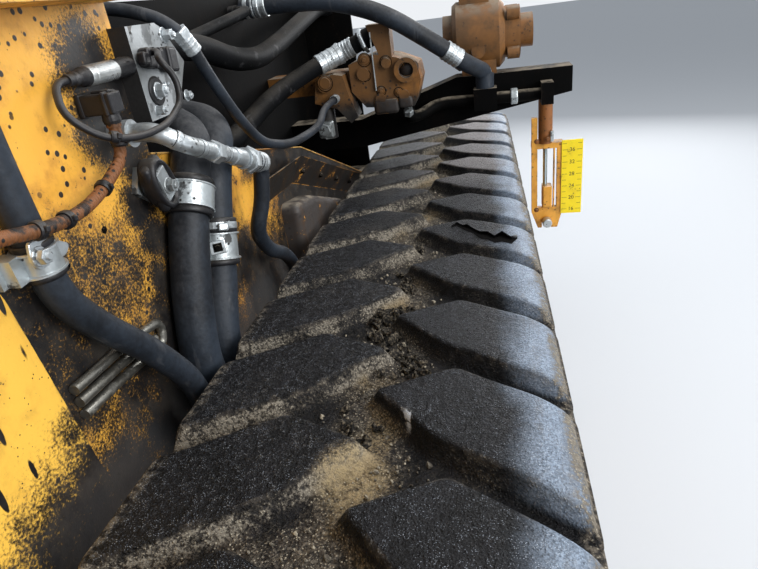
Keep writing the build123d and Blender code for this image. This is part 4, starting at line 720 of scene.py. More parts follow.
# %% Metal, rubber and plastic
def metal(name, base, stain, tar=0.4, roughness=0.32, metallic=0.75, scratches=(), rear_painted_shade=0.0):
    finish = Finish(name)
    mist = finish.cloud(17.0, detail=5.0)
    fine = lines = finish.cloud(190.0, detail=4.0)
    if scratches:
        lines = finish.cloud(420.0, place=finish.stretched(*scratches))
    drops = finish.grains(110.0).step(0.26, 0.16) * finish.cloud(19.0).step(0.47, 0.57)
    smear = finish.cloud(31.0, detail=6.0).step(0.55, 0.64)
    # Tar drops and smears, and on the bracket its rearward faces, painted near black as shade.
    rear_shade = finish.facing(1).step(-0.6, -0.9) * rear_painted_shade
    black = ((drops + smear * 0.7) * tar + rear_shade).step(0.0, 1.0)
    rough = roughness + mist.step(0.4, 0.7) * 0.16 + lines.step(0.45, 0.65) * 0.12 + black * 0.3
    finish.set(Base_Color=finish.coats(base, (mist.step(0.42, 0.7), stain), (black, TAR)))
    finish.set(Metallic=metallic - black * metallic, Roughness=rough)
    finish.bump(fine * 0.3 + lines * 0.3 + black * 0.4, 0.0006)


def rubber(name, base, scuffed, dust_share=0.3, roughness=0.55, ribs=0.0, tar=0.0, shine=0.35):
    finish = Finish(name)
    mist = finish.cloud(9.0, detail=4.0)
    fine = finish.cloud(160.0, detail=4.0)
    scuffs = finish.cloud(95.0, place=finish.stretched(1.0, 0.3, 0.2)).step(0.6, 0.72)
    settle = finish.facing(2).step(0.1, 0.95) * (mist + fine * 0.5).step(0.55, 0.9) * dust_share
    bands = finish.cloud(46.0, detail=4.0).step(0.5, 0.6) * 0.8 + finish.grains(120.0).step(0.28, 0.18)
    surface = finish.coats(
        base,
        ((mist + fine * 0.3).step(0.48, 0.82), scuffed),
        (scuffs * 0.2, (100, 100, 102)),
        (settle, DUST),
        ((bands * tar).step(0.0, 1.0), TAR),
    )
    sockets = {"Vector": finish.place, "Scale": 62.0}
    wave = finish.node("ShaderNodeTexWave", {"bands_direction": "Y"}, sockets, output=1)
    finish.set(Base_Color=surface, Roughness=roughness + settle * 0.35 - scuffs * 0.1, Specular_IOR_Level=shine)
    finish.bump(fine * 0.5 + wave * ribs, 0.0009)


# name, metal, its stains, tar, roughness, how metallic
metal("zinc", (186, 193, 195), (132, 136, 136), tar=1.2)
metal("zinc_clean", (190, 196, 199), (138, 142, 142), 0.7, 0.3)
# The bracket's rearward faces are painted near black, as shade.
metal("zinc_bracket", (158, 162, 164), (118, 121, 121), 0.8, 0.45, 0.4, rear_painted_shade=0.97)
metal("tube_steel", (150, 148, 140), (96, 92, 84), 0.9, 0.3, 0.9)
metal("sleeve_metal", (206, 210, 210), (170, 172, 170), 0.3, 0.25, 0.85)
metal("rod_chrome", (176, 188, 190), (120, 132, 134), 0.2, 0.16, 0.95, scratches=(1, 1, 0.05))
rubber("hose_slate", (19, 22, 27), (40, 47, 56), dust_share=0.14, shine=0.28)
# A near-black copy of the slate hose rubber for the hoses deep in the bay: painted shade.
rubber("hose_in_painted_shade", (7, 8, 9), (17, 18, 20), dust_share=0.08, shine=0.05)
rubber("roller_rubber", (34, 33, 33), (62, 58, 54), dust_share=0.7, roughness=0.7)
rubber("black_plastic", (15, 15, 17), (30, 30, 33), dust_share=0.15, roughness=0.45)
rubber("loom_brown", (126, 78, 42), (84, 56, 34), dust_share=0.1, roughness=0.6, ribs=1.2, tar=1.0)

# %% [markdown]
# ## Finishes of the solid model
#
# Each part of the solid model now gets its finish: the table has the finish first, and then the parts that
# wear it. The belt is left out, because the pieces above stand in for it.

# %% Finishes of the solid model
WEARERS = {
    "wall_yellow": "side_wall",
    "lap_yellow": "rear_lap_plate",
    "frame_yellow": "track_beam beam_pivot drive_hub_cap idler_hub_cap final_drive tow_guide tow_block",
    "cast_brown": "tow_cylinder travel_motor port_block",
    "guard_black": "guard_plate",
    "housing_dark": "round_housing",
    "black_and_painted_shade": "hose_bay cross_beam cross_line",
    "wheel_black": "drive_wheel idler_wheel bogie_rear bogie_front idler_fork tension_cylinder",
    "casting_tan": "pump_group",
    "valve_tan": "valve_block",
    "scale_yellow": "tow_scale",
    "zinc_bracket": "bracket_plate",
    "zinc": "clamp_a clamp_b clamp_c",
    "zinc_clean": "elbow_tube",
    "tube_steel": "steel_tubes idler_axle",
    "sleeve_metal": "sensor_body",
    "rod_chrome": "tow_rod",
    "hose_slate": "hose_a hose_b hose_c hose_d hose_e hose_i",
    "hose_in_painted_shade": "hose_f hose_g hose_h",
    "roller_rubber": "rollers_rear rollers_front",
    "black_plastic": "sensor_lead loom_connector",
    "loom_brown": "harness_loom",
}
dressed = {"track_belt"}
for finish, names in WEARERS.items():
    for name in names.split():
        for slot in bpy.data.objects[name].material_slots:
            slot.material = FINISHES[finish]
        dressed.add(name)
print("nodes with no finish yet:", sorted(set(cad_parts) - dressed))

# %% [markdown]
# ## Tools for small parts
#
# Bands, nuts, bolts and sleeves are turned or pressed parts that sit somewhere on the machine at some angle.
# Each is made upright at the origin, with its axis along z, and then placed: `upright` gives the matrix that
# carries the z axis to a direction, and `joined` makes many placed parts one shape. `turned` spins a profile
# of radii and heights round z. `hexagon` is a nut or a bolt's head: a six-sided bar with its corners turned
# off, on a washer with a rounded rim. `lip` is a rounded ring, and `fasteners` makes a table of bolts.

# %% Tools for small parts
OUTBOARD, FORWARD, REARWARD, UP = (1, 0, 0), (0, 1, 0), (0, -1, 0), (0, 0, 1)
WALL_FACE_X = BELT_X - 0.2885


def upright(place, direction=None, turn=0.0):
    """The matrix that carries a part made along z to a place, and to a direction if one is given."""
    matrix = Matrix.Translation(place)
    if direction is not None:
        matrix = matrix @ Vector(direction).to_track_quat("Z", "Y").to_matrix().to_4x4()
    return matrix @ Matrix.Rotation(turn, 4, "Z")


def joined(parts):
    """One bmesh of many; each row is a part, and where it goes: nothing, a matrix or the words of upright."""
    whole = bmesh.new()
    for part, *where in parts:
        if where:
            matrix = where[0] if isinstance(where[0], Matrix) else upright(*where)
            bmesh.ops.transform(part, matrix=matrix, verts=part.verts)
        mesh = mesh_of(part, "part")
        whole.from_mesh(mesh)
        bpy.data.meshes.remove(mesh)
    return whole


def turned(profile, steps=24):
    """Spins a profile of (radius, height) pairs round z; a radius of 0 at an end closes the pole."""
    shape = bmesh.new()
    points = [shape.verts.new((radius, 0.0, height)) for radius, height in profile]
    lines = [shape.edges.new(pair) for pair in zip(points, points[1:])]
    full = {"cent": (0, 0, 0), "axis": UP, "angle": 2 * math.pi, "use_merge": True}
    bmesh.ops.spin(shape, geom=points + lines, steps=steps, **full)
    bmesh.ops.remove_doubles(shape, verts=shape.verts, dist=1e-6)
    bmesh.ops.recalc_face_normals(shape, faces=shape.faces)
    return shape


def hexagon(across, height, washer=0.0, stud=0.0, sides=6):
    """A nut or bolt head on z = 0, across its flats; washer and stud are radii."""
    lift = washer * 0.16
    radius = across / 2 / math.cos(math.pi / sides)
    nut = bmesh.new()
    bar = {"cap_ends": True, "segments": sides, "radius1": radius, "radius2": radius, "depth": height}
    bmesh.ops.create_cone(nut, matrix=upright((0, 0, lift + height / 2)), **bar)
    bevel(nut, [edge for edge in nut.edges if span_along(edge) < 1e-6], across * 0.07, 2)
    parts = [(nut,)]
    if stud:
        profile = [(0.0, 1.35), (stud * 0.8, 1.35), (stud, 1.2), (stud, 0.9)]
        parts.append((turned([(radius, lift + height * share) for radius, share in profile], 14),))
    if washer:
        profile = [(0.0, 1.0), (washer * 0.93, 1.0), (washer, 0.6), (washer, 0.0), (0.0, 0.0)]
        parts.append((turned([(radius, lift * share) for radius, share in profile], 20),))
    return joined(parts)


def rounded_box(size, edge, segments=2):
    """A box of three side lengths round the origin, with all its edges rounded."""
    shape = box(size)
    bevel(shape, shape.edges[:], edge, segments)
    return shape


def lip(radius, width, thick):
    """A ring round z with rounded edges: its section is a small rounded bar outside a radius."""
    section = [(0.0, -1.0), (0.7, -1.0), (1.0, -0.6), (1.0, 0.6), (0.7, 1.0), (0.0, 1.0), (0.0, -1.0)]
    return turned([(radius + thick * out, width / 2 * up) for out, up in section], 40)


def fasteners(name, rows, finish):
    """Many nuts and bolts as one piece; columns: place, direction, across flats, height, washer, turn."""
    parts = []
    for place, direction, across, height, washer, turn in rows:
        parts.append((hexagon(across, height, washer, across * 0.3), place, direction, turn))
    add_piece(name, joined(parts), finish)


print("tools ready")

# %% [markdown]
# ## Hose ends
#
# A hydraulic hose ends in a steel sleeve that is crimped onto it in narrow flats, a neck, and a nut. The
# solid model only has a plain ferrule there. The sleeve is a turned profile with three shallow grooves, and
# the nut is a hexagon. Each stands a fraction of a millimetre outside the ferrule.

# %% Hose ends
GROOVES = 3
GROOVED_SHARE = 0.74


def crimp(radius, length):
    """A crimped sleeve along z from 0 to length; its hose end is at 0."""
    profile = [(0.86, 0.0), (0.95, 0.0), (1.0, 0.03)]
    for count in range(GROOVES):
        for out, share in ((1.0, 0.0), (0.955, 0.12), (0.955, 0.62), (1.0, 0.74)):
            profile.append((out, 0.14 + GROOVED_SHARE / GROOVES * (count + share)))
    profile += [(1.0, 0.96), (0.9, 1.0), (0.62, 1.0)]
    return turned([(radius * out, length * up) for out, up in profile])


# columns: start of the sleeve, direction of the hose, radius, length, nut across flats or 0, where the nut is
HOSE_ENDS = [
    ((-0.1633, -0.392, 1.238), (0.0, 0.934, -0.358), 0.0168, 0.044, 0.036, -0.006),
    ((-0.2137, 0.398, 1.195), REARWARD, 0.0122, 0.036, 0.027, -0.004),
    ((-0.198, 0.446, 1.304), (-0.8, -0.52, -0.3), 0.0272, 0.072, 0, 0),
    ((-0.108, 0.45, 1.3365), (-0.94, 0.0, -0.342), 0.025, 0.03, 0.058, 0.016),
    ((-0.158, 0.45, 1.319), (-0.94, -0.03, -0.342), 0.0258, 0.036, 0.05, 0.038),
    ((0.126, 0.461, 1.2535), (-0.735, -0.341, 0.586), 0.0262, 0.05, 0, 0),
    ((-0.2045, -0.43, 1.4255), (0.26, 0.45, -0.855), 0.0116, 0.032, 0.022, -0.003),
    ((-0.413, -0.448, 1.466), OUTBOARD, 0.0118, 0.034, 0.023, -0.002),
    ((-0.413, -0.412, 1.324), OUTBOARD, 0.03, 0.06, 0, 0),
    ((-0.413, -0.346, 1.312), OUTBOARD, 0.0285, 0.06, 0, 0),
    ((-0.413, 0.37, 1.446), OUTBOARD, 0.0268, 0.06, 0, 0),
]
crimps = []
for place, direction, radius, length, across, nut_at in HOSE_ENDS:
    aim = Vector(direction).normalized()
    crimps.append((crimp(radius, length), Vector(place) + aim * length, -aim))
    if across:
        crimps.append((hexagon(across, 0.012), Vector(place) + aim * nut_at, aim))
add_piece("hose_crimps", joined(crimps), "zinc_clean")

# %% [markdown]
# ## Height scale
#
# The scale beside the tow point is a bright painted strip. The operator reads the tow point's height from it,
# so every second unit has a short black tick at both edges and every fourth has its number between them. The
# strip is a thin rounded box with a rivet. Ticks are thin bars, and numbers are Blender's text turned into a
# mesh first.

# %% Height scale
SCALE_LOW = Vector((0.4258, 0.6832, 0.704))
SCALE_HIGH = Vector((0.4917, 0.686, 0.952))
SCALE_FACE_Y = 0.6831
SCALE_MARGIN = 0.003
UNIT = 0.01004
TOP_NUMBER = 36
TOP_NUMBER_Z = 0.92
BOTTOM_NUMBER = 16
NUMBER_SIZE = 0.0175
LONG_TICK, SHORT_TICK, TICK_W = 0.016, 0.0125, 0.0011
INK_T = 0.0004


def number_shape(number):
    """A number as flat raised digits round the origin, in the plane of x and y."""
    text = bpy.data.curves.new("number", "FONT")
    text.body = str(number)
    text.size = NUMBER_SIZE
    text.align_x = text.align_y = "CENTER"
    text.extrude = INK_T / 2
    holder = shown("number", text)
    shape = bmesh.new()
    shape.from_mesh(bpy.data.meshes.new_from_object(holder))
    bpy.data.objects.remove(holder)
    return shape


middle = (SCALE_LOW + SCALE_HIGH) / 2
rivet = turned([(0.0, 0.0), (0.0042, 0.0), (0.0046, 0.0008), (0.0, 0.0012)], 16)
strip = [
    (rounded_box(SCALE_HIGH - SCALE_LOW, 0.0009), middle),
    (rivet, (middle.x, SCALE_FACE_Y + 0.0006, 0.944), REARWARD),
]
height_scale = add_piece("height_scale", joined(strip), "scale_yellow")
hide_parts("tow_scale")

ink = Finish("scale_ink", roughness=0.5)
ink.set(Base_Color=ink.coats((26, 25, 22), (ink.cloud(160.0, detail=4.0).step(0.62, 0.7), (190, 168, 40))))
marks = []
for number in range(TOP_NUMBER + 2, BOTTOM_NUMBER - 2, -2):
    z = TOP_NUMBER_Z - (TOP_NUMBER - number) * UNIT
    length = LONG_TICK if number % 4 == 0 else SHORT_TICK
    for x in (SCALE_LOW.x + SCALE_MARGIN + length / 2, SCALE_HIGH.x - SCALE_MARGIN - length / 2):
        marks.append((rounded_box((length, INK_T, TICK_W), INK_T / 4, 1), (x, SCALE_FACE_Y, z)))
    if number % 4 == 0:
        stood_up = upright((middle.x, SCALE_FACE_Y, z)) @ Matrix.Rotation(math.pi / 2, 4, "X")
        marks.append((number_shape(number), stood_up))
add_piece("scale_marks", joined(marks), "scale_ink")

# %% [markdown]
# ## Tow point
#
# The pin that the tow arm hangs on sits in the notch at the bottom: a plain bar with turned-down ends. A
# small plated block with a nut sits on the guide's rear face beside its bolts, and a plated ring closes the
# cylinder's gland. The ring has a bore, because the rod moves through it.

# %% Tow point
PIN_R, PIN_L = 0.0156, 0.078
pin_end = [(0.0, 0.0), (0.0125, 0.0), (0.015, 0.003), (PIN_R, 0.006)]
pin = turned(pin_end + [(radius, PIN_L - height) for radius, height in reversed(pin_end)], 32)
add_piece("tow_pin", joined([(pin, (0.38175, 0.654, 0.68), FORWARD)]), "zinc_clean")

BORE_R = 0.0216
ring = [(BORE_R, 0.0), (0.0255, 0.0), (0.0262, 0.002), (0.0262, 0.008), (0.024, 0.01)]
ring += [(BORE_R, 0.01), (BORE_R, 0.0)]
tow_fittings = [
    (rounded_box((0.011, 0.006, 0.034), 0.0018), (0.3945, 0.673, 0.97)),
    (hexagon(0.0085, 0.006, stud=0.0025), (0.3945, 0.67, 0.976), REARWARD),
    (turned(ring, 32), (0.3758, 0.695, 1.112), UP),
]
add_piece("tow_fittings", joined(tow_fittings), "zinc")

TOW_BOLTS = [
    ((0.38, 0.6725, 0.962), REARWARD, 0.013, 0.007, 0.01, 0.3),
    ((0.346, 0.66, 0.96), REARWARD, 0.01, 0.006, 0.008, 0.2),
    ((0.346, 0.66, 0.73), REARWARD, 0.01, 0.006, 0.008, 0.8),
]
fasteners("tow_bolts", TOW_BOLTS, "cast_brown")

# %% [markdown]
# ## Clamps
#
# Each large hose is held by a wide plated band over a rubber sleeve. The band's edges are rolled outward, the
# sleeve stands out above and below as a dark lip, and the ear is closed by a bolt with a washer. One clamp
# has a rubber pad and a loop in its ear. Another has a narrow worm-drive band above the wide one, with its
# screw housing, and a square opening in the wide band where the end of a T-bolt shows. The rearmost one is
# held by a flat plate, which starts as its outline and is extruded.

# %% Clamps
CLAMP_A_AT, CLAMP_A_AXIS = Vector((-0.21875, -0.7835, 1.26)), Vector((0.0, 0.0559, -0.9984))
CLAMP_B_AT, CLAMP_B_AXIS = Vector((-0.21075, -0.51, 1.222)), Vector((0.0, -0.5727, -0.8198))
CLAMP_C_AT, CLAMP_C_AXIS = Vector((-0.21275, -0.465, 1.13)), Vector((0.0, -0.3482, -0.9374))
# columns: clamp's place, axis, radius, half width of the band, how wide and how thick the rubber lip is
SLEEVES = [
    (CLAMP_B_AT, CLAMP_B_AXIS, 0.0274, 0.017, 0.01, 0.0052),
    (CLAMP_C_AT, CLAMP_C_AXIS, 0.0254, 0.02, 0.009, 0.005),
    (CLAMP_A_AT, CLAMP_A_AXIS, 0.0163, 0.013, 0.006, 0.003),
]
EAR = upright((-0.215, -0.564, 1.26)) @ Matrix.Rotation(0.35, 4, "X")
WORM_AT = CLAMP_C_AT - CLAMP_C_AXIS * 0.03
OPENING_FACES = (0.44, -0.86, 0.3)
OPENING_AT = CLAMP_C_AT + Vector((0.0141, -0.028, 0.0092))
lips, rolled = [], []
for place, axis, radius, half, width, thick in SLEEVES:
    for side in (-1, 1):
        lips.append((lip(radius, width, thick), place + axis * side * (half + width * 0.45), axis))
        rolled.append((lip(radius + thick * 0.8, 0.0028, 0.003), place + axis * side * (half - 0.0014), axis))
ear_loop = lip(0.018, 0.023, 0.005)
bmesh.ops.scale(ear_loop, vec=(1.55, 0.95, 1.0), verts=ear_loop.verts)
lips += [
    (lip(0.0254, 0.012, 0.0046), CLAMP_C_AT - CLAMP_C_AXIS * 0.036, CLAMP_C_AXIS),
    (rounded_box((0.015, 0.04, 0.066), 0.006, 3), EAR),
    (ear_loop, EAR @ Matrix.Rotation(math.pi / 2, 4, "Y")),
]
add_piece("clamp_lips", joined(lips), "black_plastic", smooth=True)
rolled += [
    (lip(0.029, 0.011, 0.0016), WORM_AT, CLAMP_C_AXIS),
    (rounded_box((0.013, 0.015, 0.011), 0.0022), WORM_AT + Vector((0.021, -0.0215, 0.006)), CLAMP_C_AXIS, 0.8),
    (hexagon(0.0085, 0.006), WORM_AT + Vector((0.027, -0.018, 0.007)), (0.6, 0.8, 0.1)),
    (rounded_box((0.024, 0.02, 0.004), 0.0012), CLAMP_C_AT + Vector((0.013, -0.026, 0.0085)), OPENING_FACES),
]
add_piece("clamp_bands", joined(rolled), "zinc_clean")
opening = [
    (rounded_box((0.013, 0.0125, 0.002), 0.0006), OPENING_AT, OPENING_FACES),
    (hexagon(0.007, 0.004), OPENING_AT, OPENING_FACES),
]
add_piece("clamp_opening", joined(opening), "black_and_painted_shade")

TAB_X, TAB_T = -0.2055, 0.004
TAB = [(-0.8098, 1.2679), (-0.8054, 1.2841), (-0.783, 1.2801), (-0.7595, 1.2639), (-0.7672, 1.2559)]
TAB.append((-0.8057, 1.2571))
tab = bmesh.new()
tab_face = tab.faces.new([tab.verts.new((TAB_X, y, z)) for y, z in TAB])
extruded = bmesh.ops.extrude_face_region(tab, geom=[tab_face])["geom"]
far_verts = [part for part in extruded if isinstance(part, bmesh.types.BMVert)]
bmesh.ops.translate(tab, vec=(TAB_T, 0, 0), verts=far_verts)
bmesh.ops.recalc_face_normals(tab, faces=tab.faces)
bevel(tab, [edge for edge in tab.edges if span_along(edge, 0) > TAB_T / 2], 0.004)
bevel(tab, [edge for edge in tab.edges if edge.calc_face_angle(0.0) > 1.2], 0.0007, 1)
ear_plate = (rounded_box((0.006, 0.024, 0.042), 0.0024), EAR @ upright((0.008, 0.0, 0.0)))
add_piece("clamp_tab", joined([(tab,), ear_plate]), "zinc_clean")

CLAMP_BOLTS = [
    ((-0.2042, -0.562, 1.256), OUTBOARD, 0.015, 0.008, 0.011, 0.2),
    ((-0.2015, -0.8, 1.2685), OUTBOARD, 0.013, 0.0075, 0.0095, 0.4),
    ((-0.213, -0.434, 1.171), OUTBOARD, 0.009, 0.006, 0.007, 0.6),
]
fasteners("clamp_bolts", CLAMP_BOLTS, "zinc_clean")

# %% [markdown]
# ## Sensor
#
# The sensor is an aluminium sleeve with a rubber boot over its cable end and a nut at the wall. It is turned
# along its own axis and replaces the solid model's plain rod.

# %% Sensor
SENSOR_START = Vector((-0.22575, -0.644, 1.398))
boot = [(0.0, 0.0), (0.0056, 0.0), (0.0074, 0.002), (0.0074, 0.006), (0.0064, 0.007), (0.0076, 0.009)]
boot += [(0.0092, 0.014), (0.0102, 0.016), (0.0104, 0.023), (0.0, 0.0235)]
base = [(0.0, 0.074), (0.0106, 0.074), (0.011, 0.075), (0.011, 0.107), (0.01, 0.108), (0.0, 0.108)]
sleeve = [(0.0, 0.0225), (0.0104, 0.0225), (0.0109, 0.0235), (0.0109, 0.03), (0.0105, 0.0306), (0.0105, 0.032)]
sleeve += [(0.0109, 0.0326), (0.0109, 0.074), (0.0104, 0.075), (0.0, 0.075)]
dark_ends = [
    (turned(boot, 28), SENSOR_START, FORWARD),
    (turned(base, 28), SENSOR_START, FORWARD),
    (hexagon(0.02, 0.009), SENSOR_START + Vector((0, 0.09, 0)), FORWARD),
]
sensor_boot = add_piece("sensor_boot", joined(dark_ends), "black_plastic")
bright = joined([(turned(sleeve, 36), SENSOR_START, FORWARD)])
sensor_sleeve = add_piece("sensor_sleeve", bright, "sleeve_metal")
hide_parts("sensor_body")
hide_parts("sensor_body")

# %% [markdown]
# ## Bracket and wiring
#
# The plated bracket carries one large bolt on a dark washer, three smaller bolts, two small rivets and a
# taped connector. Cable ties hold the loom, and a ribbed plug joins its upper end. Most of these are rounded
# boxes, because tape and moulded plastic have no sharp edge.

# %% Bracket and wiring
BRACKET_FACE_X = -0.2157
PLUG_TILT = -0.12
# columns: place, size
TAPED_PLUG = [
    ((-0.208, -0.503, 1.401), (0.015, 0.05, 0.023)),
    ((-0.206, -0.476, 1.396), (0.019, 0.022, 0.03)),
    ((-0.207, -0.529, 1.403), (0.012, 0.015, 0.016)),
]
# columns: place, direction of the loom, its radius
TIES = [
    ((-0.1855, -0.664, 1.34), (0.53, 0.78, -0.35), 0.006),
    ((-0.1963, -0.7588, 1.2868), (-0.158, 0.984, -0.088), 0.0085),
    ((-0.1929, -0.799, 1.2924), (0.0, 0.982, -0.19), 0.0085),
    ((-0.2101, -0.6749, 1.2907), (-0.068, 0.961, 0.269), 0.0085),
    ((-0.2093, -0.6244, 1.3268), (0.0, 0.163, 0.987), 0.0085),
    ((-0.2019, -0.8815, 1.3113), (0.245, 0.941, -0.232), 0.0085),
]
# columns: place, size
LOOM_PLUG = [
    ((-0.218, -0.622, 1.369), (0.04, 0.023, 0.022)),
    ((-0.236, -0.622, 1.369), (0.006, 0.0258, 0.0256)),
    ((-0.206, -0.622, 1.369), (0.005, 0.0256, 0.0252)),
    ((-0.213, -0.622, 1.381), (0.022, 0.008, 0.004)),
]
washer = [(0.0, 0.0024), (0.0165, 0.0024), (0.0178, 0.0014), (0.0182, 0.0), (0.0, 0.0)]
dark_bits = [(turned(washer, 28), (BRACKET_FACE_X, -0.507, 1.363), OUTBOARD)]
tilt = Matrix.Rotation(PLUG_TILT, 4, "X")
for place, size in TAPED_PLUG:
    dark_bits.append((rounded_box(size, 0.0038, 3), upright(place) @ tilt))
for y in (-0.512, -0.5, -0.488):
    place = (-0.208, y, 1.401 + (y + 0.503) * PLUG_TILT)
    dark_bits.append((rounded_box((0.0158, 0.0035, 0.024), 0.001), upright(place) @ tilt))
for place, axis, radius in TIES:
    dark_bits.append((lip(radius - 0.0028, 0.009, 0.0034), place, axis))
    head_at = Vector(place) + Vector((radius, 0, 0.001))
    dark_bits.append((rounded_box((0.007, 0.006, 0.005), 0.0012), head_at, axis))
cable_seal = turned([(0.0, 0.0), (0.009, 0.0), (0.0098, 0.003), (0.009, 0.012), (0.0, 0.013)], 20)
plug_parts = [(rounded_box(size, 0.0019), place) for place, size in LOOM_PLUG]
plug_parts.append((cable_seal, (-0.2092, -0.624, 1.348), UP))
loom_plug = add_piece("loom_plug", joined(plug_parts), "black_plastic")
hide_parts("loom_connector")
add_piece("bracket_dark", joined(dark_bits), "black_plastic")

BRACKET_BOLTS = [
    ((BRACKET_FACE_X + 0.0022, -0.507, 1.363), OUTBOARD, 0.015, 0.009, 0.011, 0.3),
    ((BRACKET_FACE_X, -0.484, 1.368), OUTBOARD, 0.005, 0.002, 0, 0),
    ((BRACKET_FACE_X, -0.475, 1.367), OUTBOARD, 0.005, 0.002, 0, 0),
    ((BRACKET_FACE_X, -0.518, 1.341), OUTBOARD, 0.01, 0.01, 0.007, 0.1),
    ((BRACKET_FACE_X, -0.453, 1.424), OUTBOARD, 0.013, 0.011, 0.01, 0.5),
    ((BRACKET_FACE_X, -0.433, 1.345), OUTBOARD, 0.01, 0.006, 0.008, 0.7),
]
fasteners("bracket_bolts", BRACKET_BOLTS, "zinc_clean")

# %% [markdown]
# ## Castings
#
# The valve block is closed by threaded plugs: a disc with a turned groove round it, some with a hexagon or a
# square head. A thick oil-blackened ring stands round one port, and a plated square fitting hangs under the
# relief valve. A thin gasket plate shows between the two halves as a pale edge, and plated nuts join the
# line along the cross beam.

# %% Castings
def threaded_plug(radius, sides):
    """A threaded plug on z: a raised disc, a groove, and a head of so many sides in its middle."""
    profile = [(0.0, 0.0045), (0.72, 0.0045), (0.78, 0.003), (0.84, 0.0012), (0.9, 0.0028), (0.98, 0.0028)]
    profile += [(1.0, 0.0016), (1.0, -0.001), (0.0, -0.001)]
    parts = [(turned([(radius * share, height) for share, height in profile], 30),)]
    if sides:
        parts.append((hexagon(radius * 0.62, 0.006, sides=sides), (0, 0, 0.003)))
    return joined(parts)


# columns: place, direction, radius, sides of the head
PLUGS = [
    ((-0.235, 0.38, 1.239), REARWARD, 0.02, 0),
    ((-0.127, 0.42, 1.283), REARWARD, 0.0165, 6),
    ((-0.129, 0.42, 1.243), REARWARD, 0.014, 0),
    ((-0.069, 0.42, 1.272), REARWARD, 0.015, 4),
    ((-0.09, 0.42, 1.198), REARWARD, 0.012, 6),
    ((-0.042, 0.42, 1.19), REARWARD, 0.012, 6),
    ((-0.008, 0.484, 1.24), OUTBOARD, 0.015, 6),
]
plugs = [(threaded_plug(radius, sides), place, direction, 0.4) for place, direction, radius, sides in PLUGS]
grooves = [(lip(radius * 0.985, 0.003, 0.0022), place, direction) for place, direction, radius, sides in PLUGS]
add_piece("oily_grooves", joined(grooves), "black_and_painted_shade")
add_piece("casting_plugs", joined(plugs), "valve_tan")

PORT_R = 0.02
port_ring = lip(PORT_R, 0.012, 0.0075)
bmesh.ops.scale(port_ring, vec=(1.15, 0.86, 1.0), verts=port_ring.verts)
port_floor = turned([(0.0, 0.0), (PORT_R, 0.0), (PORT_R, 0.003), (0.0, 0.003)], 24)
oily_parts = [
    (port_ring, (-0.012, 0.416, 1.248), REARWARD, 0.3),
    (port_floor, (-0.012, 0.418, 1.248), REARWARD),
    (rounded_box((0.07, 0.013, 0.04), 0.009, 3), (-0.08, 0.42, 1.156)),
    (rounded_box((0.04, 0.018, 0.03), 0.008, 3), (-0.025, 0.422, 1.162)),
]
add_piece("oily_parts", joined(oily_parts), "housing_dark", smooth=True)

line_fittings = [
    (rounded_box((0.003, 0.01, 0.15), 0.0009), (-0.103, 0.418, 1.275)),
    (rounded_box((0.042, 0.042, 0.046), 0.005), (-0.256, 0.402, 1.113)),
    (hexagon(0.033, 0.014), (-0.256, 0.383, 1.116), REARWARD, 0.2),
    (hexagon(0.03, 0.012), (-0.256, 0.402, 1.098), (0, 0, -1), 0.2),
    (hexagon(0.026, 0.018), (-0.025, 0.453, 1.123), (0.1, -0.6, 0.8), 0.2),
    (hexagon(0.042, 0.02, sides=8), (0.264, 0.5627, 1.124), OUTBOARD),
    (hexagon(0.04, 0.018), (0.16, 0.5627, 1.124), OUTBOARD),
]
add_piece("line_fittings", joined(line_fittings), "zinc")

# %% [markdown]
# ## Elbow tube
#
# The plated elbow is drawn from three lengths that are brazed end to end. Each joint shows as a slightly
# wider collar between two dark lines. A hexagon nut stands between the last two, and a thicker sleeve closes
# the end against the hose.

# %% Elbow tube
TUBE_R = 0.0106
COLLAR_T = 0.0012
LINE_W, LINE_T = 0.0012, 0.0006
# columns: place, direction, width
COLLARS = [
    ((-0.1715, -0.5715, 1.313), (0.45, 0.65, -0.6), 0.007),
    ((-0.164, -0.535, 1.2934), (0.03, 0.926, -0.376), 0.009),
    ((-0.1633, -0.47, 1.2679), (0.0, 0.934, -0.358), 0.006),
]
collars, seams = [], []
for place, direction, width in COLLARS:
    collars.append((lip(TUBE_R, width, COLLAR_T), place, direction))
    for side in (-1, 1):
        line_at = Vector(place) + Vector(direction) * side * (width / 2 + 0.0008)
        seams.append((lip(TUBE_R, LINE_W, LINE_T), line_at, direction))
collars.append((hexagon(0.0262, 0.018), (-0.1633, -0.504, 1.281), (0.004, 0.933, -0.361)))
collars.append((lip(TUBE_R, 0.036, 0.0026), (-0.1633, -0.433, 1.2536), (0.0, 0.934, -0.358)))
add_piece("elbow_collars", joined(collars), "zinc_clean")
add_piece("elbow_seams", joined(seams), "black_plastic")

# %% [markdown]
# ## Chippings
#
# Stone chippings from the road lie loose in the tread's grooves, most of them near the middle, where the two
# rows of lugs meet. One small stone is a coarse ball that is squashed and dented by noise. Copies of it are
# turned, scaled and dropped on the belt's surface at places from a fixed random seed. Places where a lug
# stands are tried and left out.

# %% Chippings
STONES = 2600
STONE_LOW, STONE_HIGH = 0.0016, 0.0046
BIG_STONE = 1.6
dice = random.Random(41)


def ball(detail, rest, dent, lumps, shift=(0, 0, 0)):
    """A ball of about radius 1 that noise dents."""
    shape = bmesh.new()
    bmesh.ops.create_icosphere(shape, subdivisions=detail, radius=1.0)
    for vert in shape.verts:
        vert.co *= rest + dent * noise.noise(vert.co * lumps + Vector(shift))
    return shape


